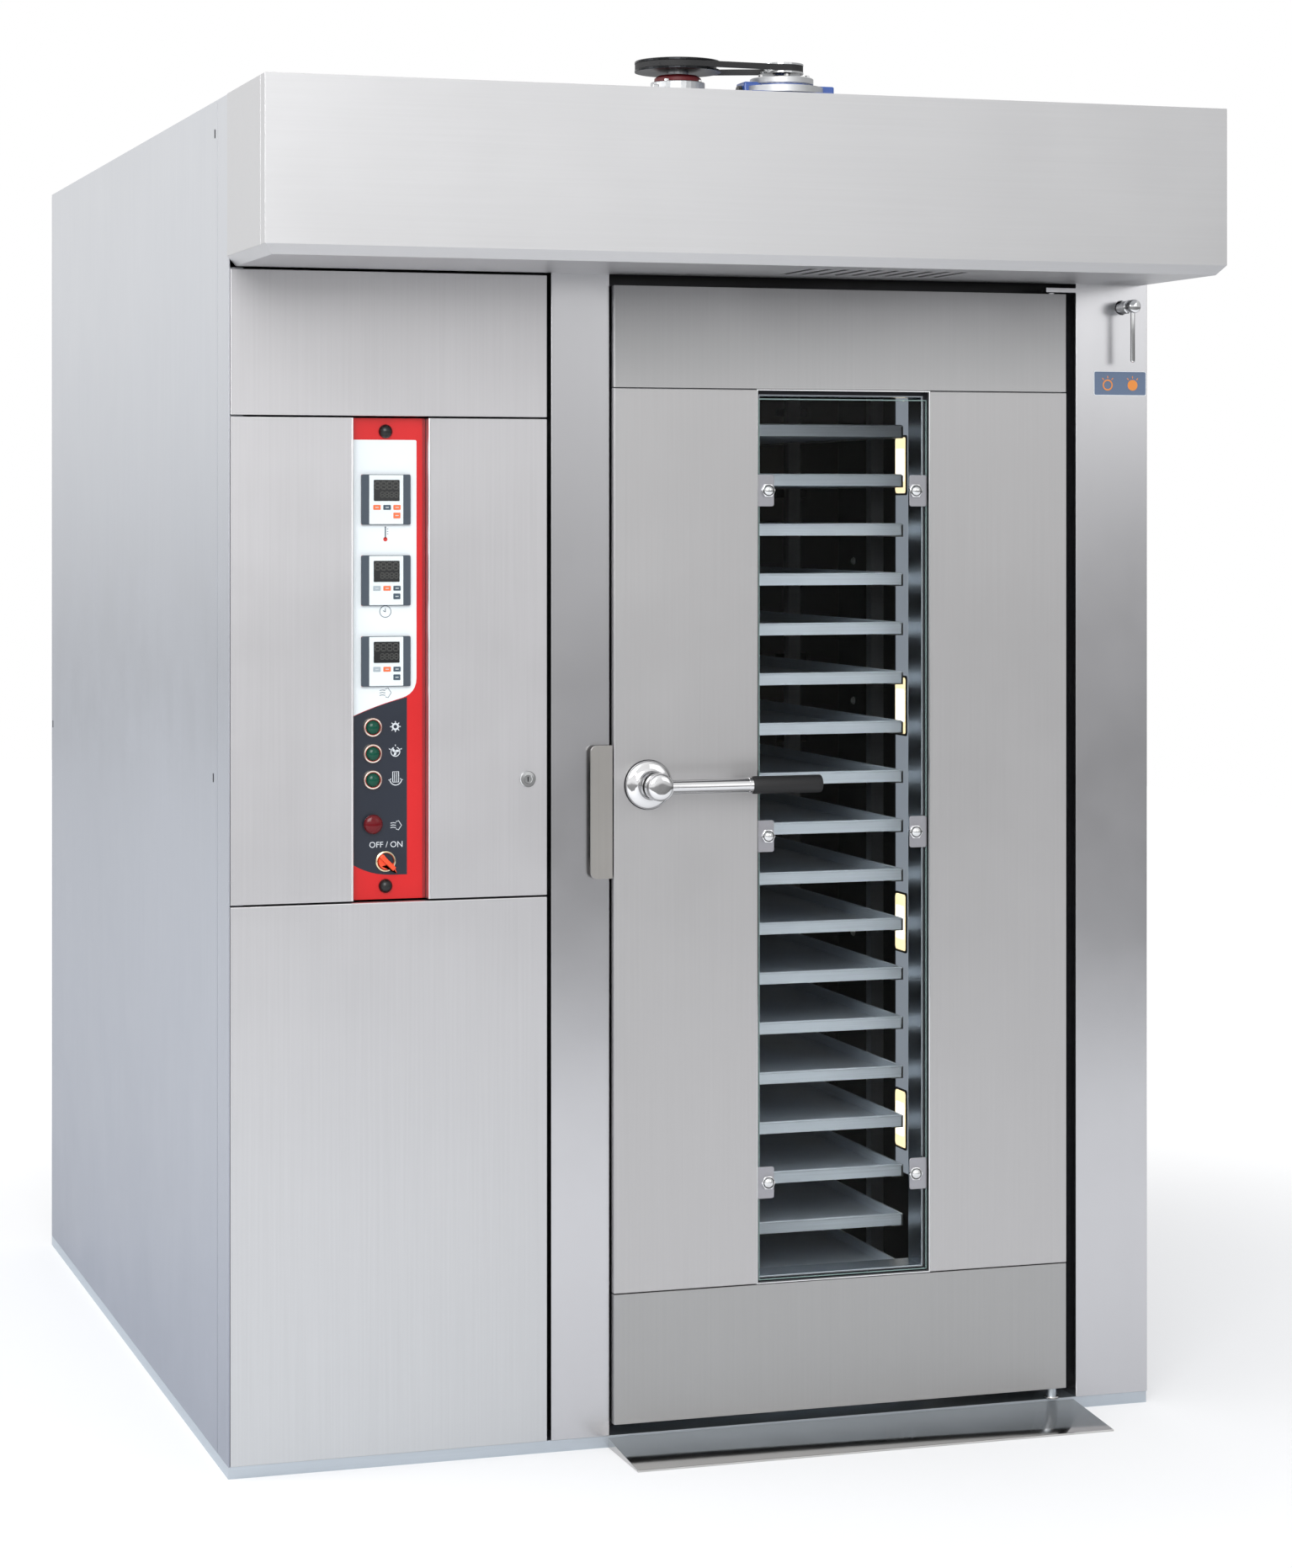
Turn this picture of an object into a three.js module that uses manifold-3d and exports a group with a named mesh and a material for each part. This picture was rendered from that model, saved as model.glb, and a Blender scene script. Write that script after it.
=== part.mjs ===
// A rotating rack oven: a steel casing with a service bay on the left, an insulated chamber with a
// windowed door, and a rack of trays that hangs from a belt-driven shaft and turns in the hot air.
// Millimetres. X runs to the right along the front, Y runs back, Z runs up. While it is built, the
// casing's front left foot is at X 0, Y 0, Z 0; the last lines centre the whole oven on its base.
import * as THREE from "three";
import Module from "manifold-3d";
import { mergeVertices } from "three/addons/utils/BufferGeometryUtils.js";

// ---- Driving dimensions ----

// Sheet metal and the gap that fitted pieces keep.
const SHEET = 2;
const FIT = 0.3;

// Casing.
const CASING_WIDTH = 1640;
const CASING_DEPTH = 1945;
const CASING_HEIGHT = 2250;
const PLINTH_HEIGHT = 20;
const PLINTH_SETBACK = 4;
const PANEL_FLANGE = 28;
const PAN_DEPTH = 20;
const FRONT_MODULE_DEPTH = 95;
const FRONT_FRAME_DEPTH = 66;
const LOUVRE_COUNT = 8;
const LOUVRE_LENGTH = 300;
const LOUVRE_WIDTH = 9;
const LOUVRE_PITCH = 26;
const LOUVRE_BASE = 980;

// Hood.
const HOOD_REACH = 300;
const HOOD_HEIGHT = 280;
const HOOD_OVERHANG = 2.5;
const HOOD_CHAMFER_HEIGHT = 16;
const HOOD_CHAMFER_INSET = 14;
const HOOD_RETURN = 35;
const SEAM_WIDTH = 2;
const HOOD_SLOT_COUNT = 10;
const HOOD_SLOT_LENGTH = 150;
const HOOD_SLOT_WIDTH = 12;
const HOOD_SLOT_PITCH = 30;

// Service bay: fixed top and bottom panels, and a hinged door with a channel for the controls.
const SERVICE_WIDTH = 538;
const SERVICE_LEFT_GAP = 0.7;
const SERVICE_FOLD = 18;
const SERVICE_TOP_GAP = 4;
const SERVICE_TOP_HEIGHT = 237;
const SERVICE_SEAM = 3;
const SERVICE_DOOR_HEIGHT = 794;
const CHANNEL_LEFT = 207;
const CHANNEL_WIDTH = 126.5;
const CHANNEL_DEPTH = 22;
const CHANNEL_LEDGE = 9;
const LOCK_INSET = 33.6;
const LOCK_RISE = 194;
const LOCK_HEAD_RADIUS = 13;
const LOCK_BARREL_RADIUS = 10;
const LOCK_BARREL_LENGTH = 30;
const LOCK_CAM_LENGTH = 48;
const LOCK_CAM_WIDTH = 16;
const LOCK_CAM_THICKNESS = 3;
const LOCK_SLOT_MARGIN = 6;

// Control plate.
const PLATE_THICKNESS = 3;
const CONTROLLER_COUNT = 3;
const CONTROL_INSET = 58.5;
const CONTROLLER_SIZE = 82;
const CONTROLLER_FACE = 6;
const CONTROLLER_BODY = 68;
const CONTROLLER_DEPTH = 60;
const CONTROLLER_PITCH = 133.4;
const CONTROLLER_RISE = 392.7;
const BUTTON_INSET = 36.5;
const BUTTON_RADIUS = 12;
const BUTTON_PROUD = 7;
const BUTTON_DOME = 5;
const BUTTON_SHANK = 18;
const BEZEL_WALL = 3.3;
const BEZEL_HEIGHT = 5;
const GREEN_BUTTON_COUNT = 3;
const GREEN_BUTTON_RISE = 197.5;
const GREEN_BUTTON_PITCH = 43.3;
const RED_BUTTON_RISE = 124.5;
const RED_BUTTON_RADIUS = 16;
const SWITCH_RISE = 62.5;
const SWITCH_RADIUS = 13;
const SWITCH_PROUD = 16;
const SWITCH_SHANK_RADIUS = 8;
const SWITCH_GRIP_WIDTH = 8;
const PLATE_KNOB_RADIUS = 10.5;
const PLATE_KNOB_INSET = 22;

// Pillar, door opening and column, from left to right.
const PILLAR_GAP = 7;
const PILLAR_WIDTH = 102;
const DOOR_LATCH_GAP = 3;
const DOOR_HINGE_GAP = 25.5;
const COLUMN_WIDTH = 137.5;

// Oven door: an insulated core with folded skins in front of it.
const DOOR_BASE = 42;
const DOOR_TOP_GAP = 19;
const DOOR_PROUD = 16;
const DOOR_CORE_DEPTH = 62;
const DOOR_CORE_WALL = 3;
const DOOR_CORE_INSET = 2;
const DOOR_SEAM = 1.5;
const DOOR_LAP = 20;
const DOOR_KICK_HEIGHT = 218;
const DOOR_HEAD_HEIGHT = 171;
const WINDOW_INSET = 255;
const WINDOW_HINGE_INSET = 256.5;
const WINDOW_REST = 8;
const GLASS_THICKNESS = 6;
const GLASS_GAP = 0.5;
const HINGE_INSET = 17;
const HINGE_AXIS_DEPTH = 10;
const HINGE_COLLAR_RADIUS = 9;
const HINGE_PIN_RADIUS = 6;
const HINGE_PIN_LENGTH = 20;
const HINGE_WASHER_RADIUS = 13;
const HINGE_WASHER_HEIGHT = 4;
const HINGE_BRACKET_LAP = 14;
const HINGE_BRACKET_DEPTH = 24;
const HINGE_BRACKET_THICKNESS = 8;
const HINGE_BRACKET_GAP = 4;

// Door handle, latch tongue and keeper.
const HANDLE_INSET = 60;
const HANDLE_HEIGHT = 1113;
const ROSETTE_RADIUS = 41;
const ROSETTE_HEIGHT = 12;
const HUB_NECK_RADIUS = 21;
const HUB_HEAD_RADIUS = 23;
const HUB_HEAD_LENGTH = 28;
const HUB_REACH = 76;
const SPINDLE_RADIUS = 12;
const SPINDLE_DEPTH = 28;
const LEVER_RADIUS = 10;
const LEVER_REACH = 286;
const LEVER_SETBACK = 14;
const GRIP_RADIUS = 15;
const GRIP_LENGTH = 123;
const GRIP_END = 4;
const TONGUE_LENGTH = 95;
const TONGUE_WIDTH = 18;
const TONGUE_THICKNESS = 6;
const TONGUE_EYE_RADIUS = 20;
const TONGUE_SETBACK = 3;
const TONGUE_SLOT_MARGIN = 3;
const KEEPER_WIDTH = 38;
const KEEPER_HEIGHT = 223;
const KEEPER_BASE = 957;
const KEEPER_THICKNESS = 3;
const KEEPER_CORNER = 11;
const KEEPER_EDGE_GAP = 2;
const KEEPER_SPACER_WIDTH = 26;
const KEEPER_SPACER_HEIGHT = 20;
const KEEPER_SPACER_INSET = 8;
const KEEPER_STANDOFF = 11;

// Damper control on the right column.
const DAMPER_INSET = 50;
const DAMPER_DROP = 40;
const DAMPER_SPINDLE_RADIUS = 11.5;
const DAMPER_REACH = 58;
const DAMPER_ROD_RADIUS = 4;
const DAMPER_ROD_LENGTH = 98;
const DAMPER_ROD_SETBACK = 12;
const DAMPER_FLAP_HALF_WIDTH = 44;
const DAMPER_FLAP_START = 8;
const DAMPER_FLAP_END = 62;

// Entry ramp.
const RAMP_DEPTH = 164;
const RAMP_HEIGHT = 16;
const RAMP_NOSE = 3;
const RAMP_LEFT_LAP = 4;
const RAMP_RIGHT_LAP = 23;

// Baking chamber: the steel lining.
const CHAMBER_LEFT = 484;
const CHAMBER_SIDE_SPACE = 96;
const CHAMBER_ROOF_SPACE = 250;
const CHAMBER_WALL = 3;
const PLENUM_DEPTH = 420;
const DUCT_SHEET = 3;
const DUCT_SLOT_ROWS = 10;
const DUCT_SLOT_WIDTH = 70;
const DUCT_SLOT_HEIGHT = 16;
const DUCT_SLOT_PITCH = 170;
const DUCT_SLOT_BASE = 240;
const DUCT_SLOT_EDGE = 70;
const INTAKE_SLOT_ROWS = 8;
const INTAKE_SLOT_LENGTH = 320;
const INTAKE_SLOT_WIDTH = 14;
const INTAKE_SLOT_PITCH = 40;

// Circulation fan and heating elements behind the duct wall.
const FAN_HEIGHT = 1100;
const FAN_RADIUS = 190;
const FAN_WIDTH = 80;
const FAN_WALL_GAP = 15;
const FAN_PLATE = 3;
const FAN_HUB_RADIUS = 32;
const FAN_EYE_RADIUS = 120;
const FAN_BLADE_COUNT = 10;
const FAN_BLADE_SWEEP = 35;
const FAN_SHAFT_RADIUS = 12;
const FAN_SHAFT_IN_MOTOR = 60;
const FAN_MOTOR_RADIUS = 85;
const FAN_MOTOR_LENGTH = 145;
const FAN_MOTOR_FLANGE_RADIUS = 110;
const FAN_MOTOR_FLANGE = 10;
const ELEMENT_COUNT = 5;
const ELEMENT_RADIUS = 8;
const ELEMENT_REACH = 900;
const ELEMENT_BEND = 60;
const ELEMENT_PITCH = 160;
const ELEMENT_BASE = 760;
const ELEMENT_OFFSET = 90;
const ELEMENT_PLATE_THICKNESS = 6;
const ELEMENT_PLATE_MARGIN = 40;

// Rack: two ladders of runners between four posts, carried by hooks.
const RACK_AXIS_DEPTH = 742;
const RACK_SWEEP_RADIUS = 530;
const TRAY_COUNT = 18;
const TRAY_BASE = 178;
const TRAY_HEAD_GAP = 27;
const TRAY_WIDTH = 596;
const TRAY_LENGTH = 799;
const TRAY_HEIGHT = 22;
const TRAY_WALL = 2;
const RUNNER_SIDE_GAP = 2.5;
const RUNNER_LEDGE = 19;
const RUNNER_THICKNESS = 2;
const RUNNER_HEIGHT = 20;
const RUNNER_END_INSET = 4.5;
const POST_SIZE = 25;
const POST_SPACING = 448;
const RACK_BASE_HEIGHT = 140;
const RACK_HEADROOM = 175;
const RACK_LIFT = 10;
const CASTOR_RADIUS = 45;
const CASTOR_WIDTH = 26;
const CASTOR_INSET = 45;
const CASTOR_STEM = 9;
const HOOK_THICKNESS = 12;
const HOOK_WIDTH = 40;
const HOOK_LIP = 30;

// Top drive.
const SHAFT_RADIUS = 20;
const CARRIER_HEADROOM = 110;
const CARRIER_THICKNESS = 16;
const CARRIER_LENGTH = 240;
const CARRIER_WIDTH = 50;
const BEARING_RADIUS = 52;
const BEARING_HEIGHT = 139;
const BEARING_FLANGE_RADIUS = 80;
const BEARING_FLANGE = 12;
const PULLEY_CLEARANCE = 20;
const PULLEY_RADIUS = 82.5;
const MOTOR_PULLEY_RADIUS = 42;
const PULLEY_FLANGE = 4;
const GROOVE_DEPTH = 8;
const BELT_HEIGHT = 11;
const BELT_THICKNESS = 7;
const SHAFT_STUB = 4;
const MOTOR_OFFSET_X = 200;
const MOTOR_OFFSET_Y = -30;
const MOTOR_SHAFT_RADIUS = 12;
const GEARBOX_WIDTH = 168;
const GEARBOX_DEPTH = 130;
const GEARBOX_HEIGHT = 114;
const GEARBOX_FOOT = 6;
const GEARBOX_FOOT_LAP = 20;
const MOTOR_FLANGE_RADIUS = 57;
const MOTOR_FLANGE = 18;
const MOTOR_BODY_RADIUS = 50;
const MOTOR_BODY_LENGTH = 230;

// ---- Places worked out from them ----

const PANEL_BASE = PLINTH_HEIGHT + FIT;
const HOOD_BASE = CASING_HEIGHT - HOOD_HEIGHT;
const SERVICE_LEFT = SHEET + SERVICE_LEFT_GAP;
const SERVICE_TOP_BASE = HOOD_BASE - SERVICE_TOP_GAP - SERVICE_TOP_HEIGHT;
const SERVICE_DOOR_TOP = SERVICE_TOP_BASE - SERVICE_SEAM;
const SERVICE_DOOR_BASE = SERVICE_DOOR_TOP - SERVICE_DOOR_HEIGHT;
const FLANGE_START = CHANNEL_DEPTH;
const PLATE_FRONT = CHANNEL_DEPTH - FIT - PLATE_THICKNESS;
const CONTROL_X = CHANNEL_LEFT + CONTROL_INSET;
const BUTTON_X = CHANNEL_LEFT + BUTTON_INSET;
const LOCK_X = SERVICE_WIDTH - LOCK_INSET;
const LOCK_Z = SERVICE_DOOR_BASE + LOCK_RISE;
const LOCK_CAM_BACK = LOCK_BARREL_LENGTH + LOCK_CAM_THICKNESS;
const PILLAR_LEFT = SERVICE_WIDTH + PILLAR_GAP;
const PILLAR_RIGHT = PILLAR_LEFT + PILLAR_WIDTH;
const DOOR_LEFT = PILLAR_RIGHT + DOOR_LATCH_GAP;
const COLUMN_LEFT = CASING_WIDTH - COLUMN_WIDTH;
const DOOR_RIGHT = COLUMN_LEFT - DOOR_HINGE_GAP;
const DOOR_TOP = HOOD_BASE - DOOR_TOP_GAP;
const DOOR_FRONT = -DOOR_PROUD;
const HINGE_X = DOOR_RIGHT - HINGE_INSET;
const FRAME_TOP = CASING_HEIGHT - SHEET - FIT;
const WINDOW_LEFT = DOOR_LEFT + WINDOW_INSET;
const WINDOW_RIGHT = DOOR_RIGHT - WINDOW_HINGE_INSET;
const WINDOW_BASE = DOOR_BASE + DOOR_KICK_HEIGHT + DOOR_SEAM;
const WINDOW_TOP = DOOR_TOP - DOOR_HEAD_HEIGHT - DOOR_SEAM;
const HANDLE_X = DOOR_LEFT + HANDLE_INSET;
const HUB_FACE = DOOR_FRONT - FIT;
const LEVER_Y = HUB_FACE - HUB_REACH + LEVER_SETBACK;
const TONGUE_BACK = -TONGUE_SETBACK;
const TONGUE_FRONT = TONGUE_BACK - TONGUE_THICKNESS;
const KEEPER_RIGHT = DOOR_LEFT - KEEPER_EDGE_GAP;
const KEEPER_LEFT = KEEPER_RIGHT - KEEPER_WIDTH;
const DAMPER_X = CASING_WIDTH - DAMPER_INSET;
const DAMPER_HEIGHT = HOOD_BASE - DAMPER_DROP;
const CHAMBER_RIGHT = CASING_WIDTH - CHAMBER_SIDE_SPACE;
const CHAMBER_TOP = CASING_HEIGHT - CHAMBER_ROOF_SPACE;
const CHAMBER_FRONT = FRONT_FRAME_DEPTH + FIT;
const CHAMBER_FLOOR_TOP = PANEL_BASE + CHAMBER_WALL;
const RACK_X = (CHAMBER_LEFT + CHAMBER_RIGHT) / 2;
const DUCT_FRONT = RACK_AXIS_DEPTH + RACK_SWEEP_RADIUS;
const PLENUM_BACK = DUCT_FRONT + DUCT_SHEET + PLENUM_DEPTH;
const CHAMBER_BACK = PLENUM_BACK + CHAMBER_WALL;
const FAN_BACK = PLENUM_BACK - FAN_WALL_GAP;
const FAN_FRONT = FAN_BACK - FAN_WIDTH;
const FAN_MOTOR_FRONT = CHAMBER_BACK + FIT;
const RUNNER_X = TRAY_WIDTH / 2 + RUNNER_SIDE_GAP;
const POST_X = RUNNER_X + RUNNER_THICKNESS + POST_SIZE / 2;
const POST_Y = POST_SPACING / 2;
const RACK_TOP_HEIGHT = CHAMBER_TOP - RACK_HEADROOM;
const TRAY_PITCH = (RACK_TOP_HEIGHT - TRAY_BASE - TRAY_HEAD_GAP) / TRAY_COUNT;
const CARRIER_HEIGHT = CHAMBER_TOP - CARRIER_HEADROOM;
const CARRIER_TOP = CARRIER_HEIGHT + CARRIER_THICKNESS;
const ROOF_TOP = CASING_HEIGHT;
const BEARING_BASE = ROOF_TOP + FIT;
const PULLEY_BASE = ROOF_TOP + BEARING_HEIGHT + PULLEY_CLEARANCE;
const GROOVE_BASE = PULLEY_BASE + PULLEY_FLANGE;
const GROOVE_HEIGHT = BELT_HEIGHT + 2 * FIT;
const PULLEY_TOP = GROOVE_BASE + GROOVE_HEIGHT + PULLEY_FLANGE;
const MOTOR_X = RACK_X + MOTOR_OFFSET_X;
const MOTOR_Y = RACK_AXIS_DEPTH + MOTOR_OFFSET_Y;
const GEARBOX_BASE = BEARING_BASE + GEARBOX_FOOT;
const GEARBOX_TOP = GEARBOX_BASE + GEARBOX_HEIGHT;
const MOTOR_FLANGE_TOP = GEARBOX_TOP + MOTOR_FLANGE;

// ---- Shape helpers: each returns a solid, and solids are joined and cut as booleans ----

const wasm = await Module();
wasm.setup();

function solidOf(geometry) {
  const bare = geometry.clone();
  bare.deleteAttribute("normal");
  bare.deleteAttribute("uv");
  const merged = mergeVertices(bare, 1e-4);
  return new wasm.Manifold(
    new wasm.Mesh({
      numProp: 3,
      vertProperties: merged.attributes.position.array,
      triVerts: new Uint32Array(merged.index.array),
    }),
  );
}

function geometryOf(solid) {
  const mesh = solid.getMesh();
  const geometry = new THREE.BufferGeometry();
  geometry.setAttribute("position", new THREE.BufferAttribute(mesh.vertProperties, 3));
  geometry.setIndex(new THREE.BufferAttribute(mesh.triVerts, 1));
  geometry.computeVertexNormals();
  return geometry;
}

const join = (first, ...others) => others.reduce((sum, next) => sum.add(next), first);
const cut = (body, ...tools) => tools.reduce((rest, tool) => rest.subtract(tool), body);

// A box from its low and high corners.
function box(x0, x1, y0, y1, z0, z1) {
  const geometry = new THREE.BoxGeometry(x1 - x0, y1 - y0, z1 - z0);
  return solidOf(geometry.translate((x0 + x1) / 2, (y0 + y1) / 2, (z0 + z1) / 2));
}

// A folded tray of sheet metal: a box hollowed from one side. open is "+y", "+z", "-z" and so on.
function pan(x0, x1, y0, y1, z0, z1, open, wall = SHEET) {
  const low = [x0 + wall, y0 + wall, z0 + wall];
  const high = [x1 - wall, y1 - wall, z1 - wall];
  const axis = "xyz".indexOf(open[1]);
  if (open[0] === "+") high[axis] += 2 * wall;
  else low[axis] -= 2 * wall;
  const hollow = box(low[0], high[0], low[1], high[1], low[2], high[2]);
  return cut(box(x0, x1, y0, y1, z0, z1), hollow);
}

// A round bar along an axis; u and v are its centre's other two coordinates in X, Y, Z order.
function bar(axis, u, v, from, to, radius, sides = 24) {
  const geometry = new THREE.CylinderGeometry(radius, radius, to - from, sides);
  const middle = (from + to) / 2;
  if (axis === "x") geometry.rotateZ(-Math.PI / 2).translate(middle, u, v);
  if (axis === "y") geometry.translate(u, middle, v);
  if (axis === "z") geometry.rotateX(Math.PI / 2).translate(u, v, middle);
  return solidOf(geometry);
}

// A turned piece about the vertical axis through x, y. profile lists [radius, height].
function turned(profile, x, y, sides = 32) {
  const points = profile.map(([radius, height]) => new THREE.Vector2(radius, height));
  const geometry = new THREE.LatheGeometry(points, sides);
  return solidOf(geometry.rotateX(Math.PI / 2).translate(x, y, 0));
}

// A turned piece that stands out to the front of y. profile lists [radius, reach].
function turnedForward(profile, x, y, z, sides = 32) {
  const points = profile.map(([radius, reach]) => new THREE.Vector2(radius, reach));
  const geometry = new THREE.LatheGeometry(points, sides);
  return solidOf(geometry.rotateX(Math.PI).translate(x, y, z));
}

const shapeOf = (points) => new THREE.Shape(points.map(([a, b]) => new THREE.Vector2(a, b)));

// A plan outline in X, Y carried up from z0 to z1.
function prism(shape, z0, z1, curveSegments = 6) {
  const options = { depth: z1 - z0, bevelEnabled: false, curveSegments };
  return solidOf(new THREE.ExtrudeGeometry(shape, options).translate(0, 0, z0));
}

// A front outline in X, Z carried back from y0 to y1.
function frontPrism(shape, y0, y1, curveSegments = 6) {
  const options = { depth: y1 - y0, bevelEnabled: false, curveSegments };
  const geometry = new THREE.ExtrudeGeometry(shape, options);
  return solidOf(geometry.rotateX(Math.PI / 2).translate(0, y1, 0));
}

// A side outline in Y, Z carried right from x0 to x1.
function sidePrism(points, x0, x1) {
  const options = { depth: x1 - x0, bevelEnabled: false };
  const geometry = new THREE.ExtrudeGeometry(shapeOf(points), options);
  const turn = new THREE.Matrix4().makeBasis(
    new THREE.Vector3(0, 1, 0),
    new THREE.Vector3(0, 0, 1),
    new THREE.Vector3(1, 0, 0),
  );
  return solidOf(geometry.applyMatrix4(turn).translate(x0, 0, 0));
}

// The plan outline of a folded sheet: its face follows the points, its metal lies to their left.
function foldedSheet(points, wall = SHEET) {
  const face = points.map(([x, y]) => new THREE.Vector2(x, y));
  const normals = face.slice(1).map((point, i) => {
    const run = point.clone().sub(face[i]).normalize();
    return new THREE.Vector2(-run.y, run.x);
  });
  const inner = face.map((point, i) => {
    const before = normals[Math.max(i - 1, 0)];
    const after = normals[Math.min(i, normals.length - 1)];
    const mitre = before.clone().add(after).divideScalar(1 + before.dot(after));
    return point.clone().addScaledVector(mitre, wall);
  });
  return new THREE.Shape([...face, ...inner.reverse()]);
}

// A block with a level top and bottom of different sizes: [x0, x1, y0, y1] at z0 and at z1.
function taperedBlock(bottom, top, z0, z1) {
  const corners = [];
  for (const [[x0, x1, y0, y1], z] of [[bottom, z0], [top, z1]]) {
    corners.push(x0, y0, z, x1, y0, z, x1, y1, z, x0, y1, z);
  }
  const sides = [0, 1, 2, 3].flatMap((i) => {
    const next = (i + 1) % 4;
    return [i, next, next + 4, i, next + 4, i + 4];
  });
  const geometry = new THREE.BufferGeometry();
  geometry.setAttribute("position", new THREE.Float32BufferAttribute(corners, 3));
  geometry.setIndex([0, 2, 1, 0, 3, 2, 4, 5, 6, 4, 6, 7, ...sides]);
  return solidOf(geometry);
}

// ---- Materials ----

function finish(color, roughness, metalness) {
  return new THREE.MeshStandardMaterial({ color, roughness, metalness });
}
const brushedSteel = () => finish(0xc4c3c4, 0.38, 0.9);
const satinSteel = () => finish(0xb9bec8, 0.5, 0.85);
const polishedSteel = () => finish(0x77787a, 0.18, 1);
const chrome = () => finish(0xe4e6ea, 0.08, 1);
const aluminium = () => finish(0xc9cdd0, 0.35, 0.9);
const castAluminium = () => finish(0xdfe2e4, 0.5, 0.6);
const darkSteel = () => finish(0x3b3d40, 0.5, 0.8);
const blackPlastic = () => finish(0x141416, 0.45, 0);
const blackRubber = () => finish(0x1c1c1e, 0.75, 0);
const bluePaint = () => finish(0x2a50a8, 0.4, 0.1);
const greyPaint = () => finish(0x6d7378, 0.5, 0.1);
const controlPlate = () => finish(0xe8ecf2, 0.35, 0);
const greenLens = () => finish(0x0c5a44, 0.15, 0);
const redLens = () => finish(0x8d1420, 0.2, 0);
const redPlastic = () => finish(0xe5361f, 0.35, 0);

function glass() {
  const material = finish(0x8fa9a4, 0.05, 0);
  material.transparent = true;
  material.opacity = 0.35;
  return material;
}

// ---- Assembly ----

const oven = new THREE.Group();

function piece(name, solid, material, parent = oven) {
  const mesh = new THREE.Mesh(geometryOf(solid), material);
  mesh.name = name;
  parent.add(mesh);
  return mesh;
}

// Base frame: a plinth slab, with the lower pivot of the oven door standing on it.
function baseFrame() {
  const pivot = (from, to, radius) =>
    bar("z", HINGE_X, HINGE_AXIS_DEPTH, PLINTH_HEIGHT + from, to, radius);
  return join(
    box(0, CASING_WIDTH, PLINTH_SETBACK, CASING_DEPTH, 0, PLINTH_HEIGHT),
    pivot(-1, PLINTH_HEIGHT + HINGE_WASHER_HEIGHT, HINGE_WASHER_RADIUS),
    pivot(0, DOOR_BASE - FIT, HINGE_COLLAR_RADIUS),
    pivot(0, DOOR_BASE + HINGE_PIN_LENGTH, HINGE_PIN_RADIUS),
  );
}
piece("base_frame", baseFrame(), darkSteel());

// Side panels: outer sheets with flanges that carry the rear, roof and front members.
function leftSidePanel() {
  const inner = SHEET / 2;
  const seam = box(-1, inner, FRONT_MODULE_DEPTH, FRONT_MODULE_DEPTH + SEAM_WIDTH,
    PANEL_BASE - 1, CASING_HEIGHT + 1);
  const sheet = cut(box(0, SHEET, 0, CASING_DEPTH, PANEL_BASE, CASING_HEIGHT), seam);
  return join(
    sheet,
    box(inner, PANEL_FLANGE, FLANGE_START, FLANGE_START + SHEET, PANEL_BASE, HOOD_BASE),
    box(inner, PANEL_FLANGE, CASING_DEPTH - SHEET, CASING_DEPTH, PANEL_BASE, CASING_HEIGHT),
    box(inner, PANEL_FLANGE, CHAMBER_FRONT, CASING_DEPTH, CASING_HEIGHT - SHEET, CASING_HEIGHT),
    box(inner, PANEL_FLANGE, CHAMBER_FRONT, CASING_DEPTH, PANEL_BASE, PANEL_BASE + SHEET),
  );
}

function rightSidePanel() {
  const inside = CASING_WIDTH - SHEET / 2;
  const flange = CASING_WIDTH - PANEL_FLANGE;
  return join(
    box(CASING_WIDTH - SHEET, CASING_WIDTH, CHAMBER_FRONT, CASING_DEPTH, PANEL_BASE, CASING_HEIGHT),
    box(flange, inside, CASING_DEPTH - SHEET, CASING_DEPTH, PANEL_BASE, CASING_HEIGHT),
    box(flange, inside, CHAMBER_FRONT, CASING_DEPTH, CASING_HEIGHT - SHEET, CASING_HEIGHT),
    box(flange, inside, CHAMBER_FRONT, CASING_DEPTH, PANEL_BASE, PANEL_BASE + SHEET),
  );
}
piece("left_side_panel", leftSidePanel(), satinSteel());
piece("right_side_panel", rightSidePanel(), satinSteel());

// Rear panel with louvres over the fan motor, and the roof tray with the drive shaft's hole.
const INSET_LEFT = PANEL_FLANGE + FIT;
const INSET_RIGHT = CASING_WIDTH - PANEL_FLANGE - FIT;

function rearPanel() {
  const louvres = [];
  for (let i = 0; i < LOUVRE_COUNT; i += 1) {
    const z = LOUVRE_BASE + i * LOUVRE_PITCH;
    louvres.push(
      box(RACK_X - LOUVRE_LENGTH / 2, RACK_X + LOUVRE_LENGTH / 2, CASING_DEPTH - 2 * SHEET,
        CASING_DEPTH + 1, z, z + LOUVRE_WIDTH),
    );
  }
  const tray = pan(INSET_LEFT, INSET_RIGHT, CASING_DEPTH - PAN_DEPTH, CASING_DEPTH,
    PANEL_BASE, CASING_HEIGHT - PAN_DEPTH - FIT, "-y");
  return cut(tray, ...louvres);
}

function roofPanel() {
  const tray = pan(INSET_LEFT, INSET_RIGHT, CHAMBER_FRONT, CASING_DEPTH - SHEET - FIT,
    CASING_HEIGHT - PAN_DEPTH, ROOF_TOP, "-z");
  const hole = bar("z", RACK_X, RACK_AXIS_DEPTH, ROOF_TOP - PAN_DEPTH, ROOF_TOP + 1,
    SHAFT_RADIUS + SHEET);
  return cut(tray, hole);
}
piece("rear_panel", rearPanel(), satinSteel());
piece("roof_panel", roofPanel(), satinSteel());

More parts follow.
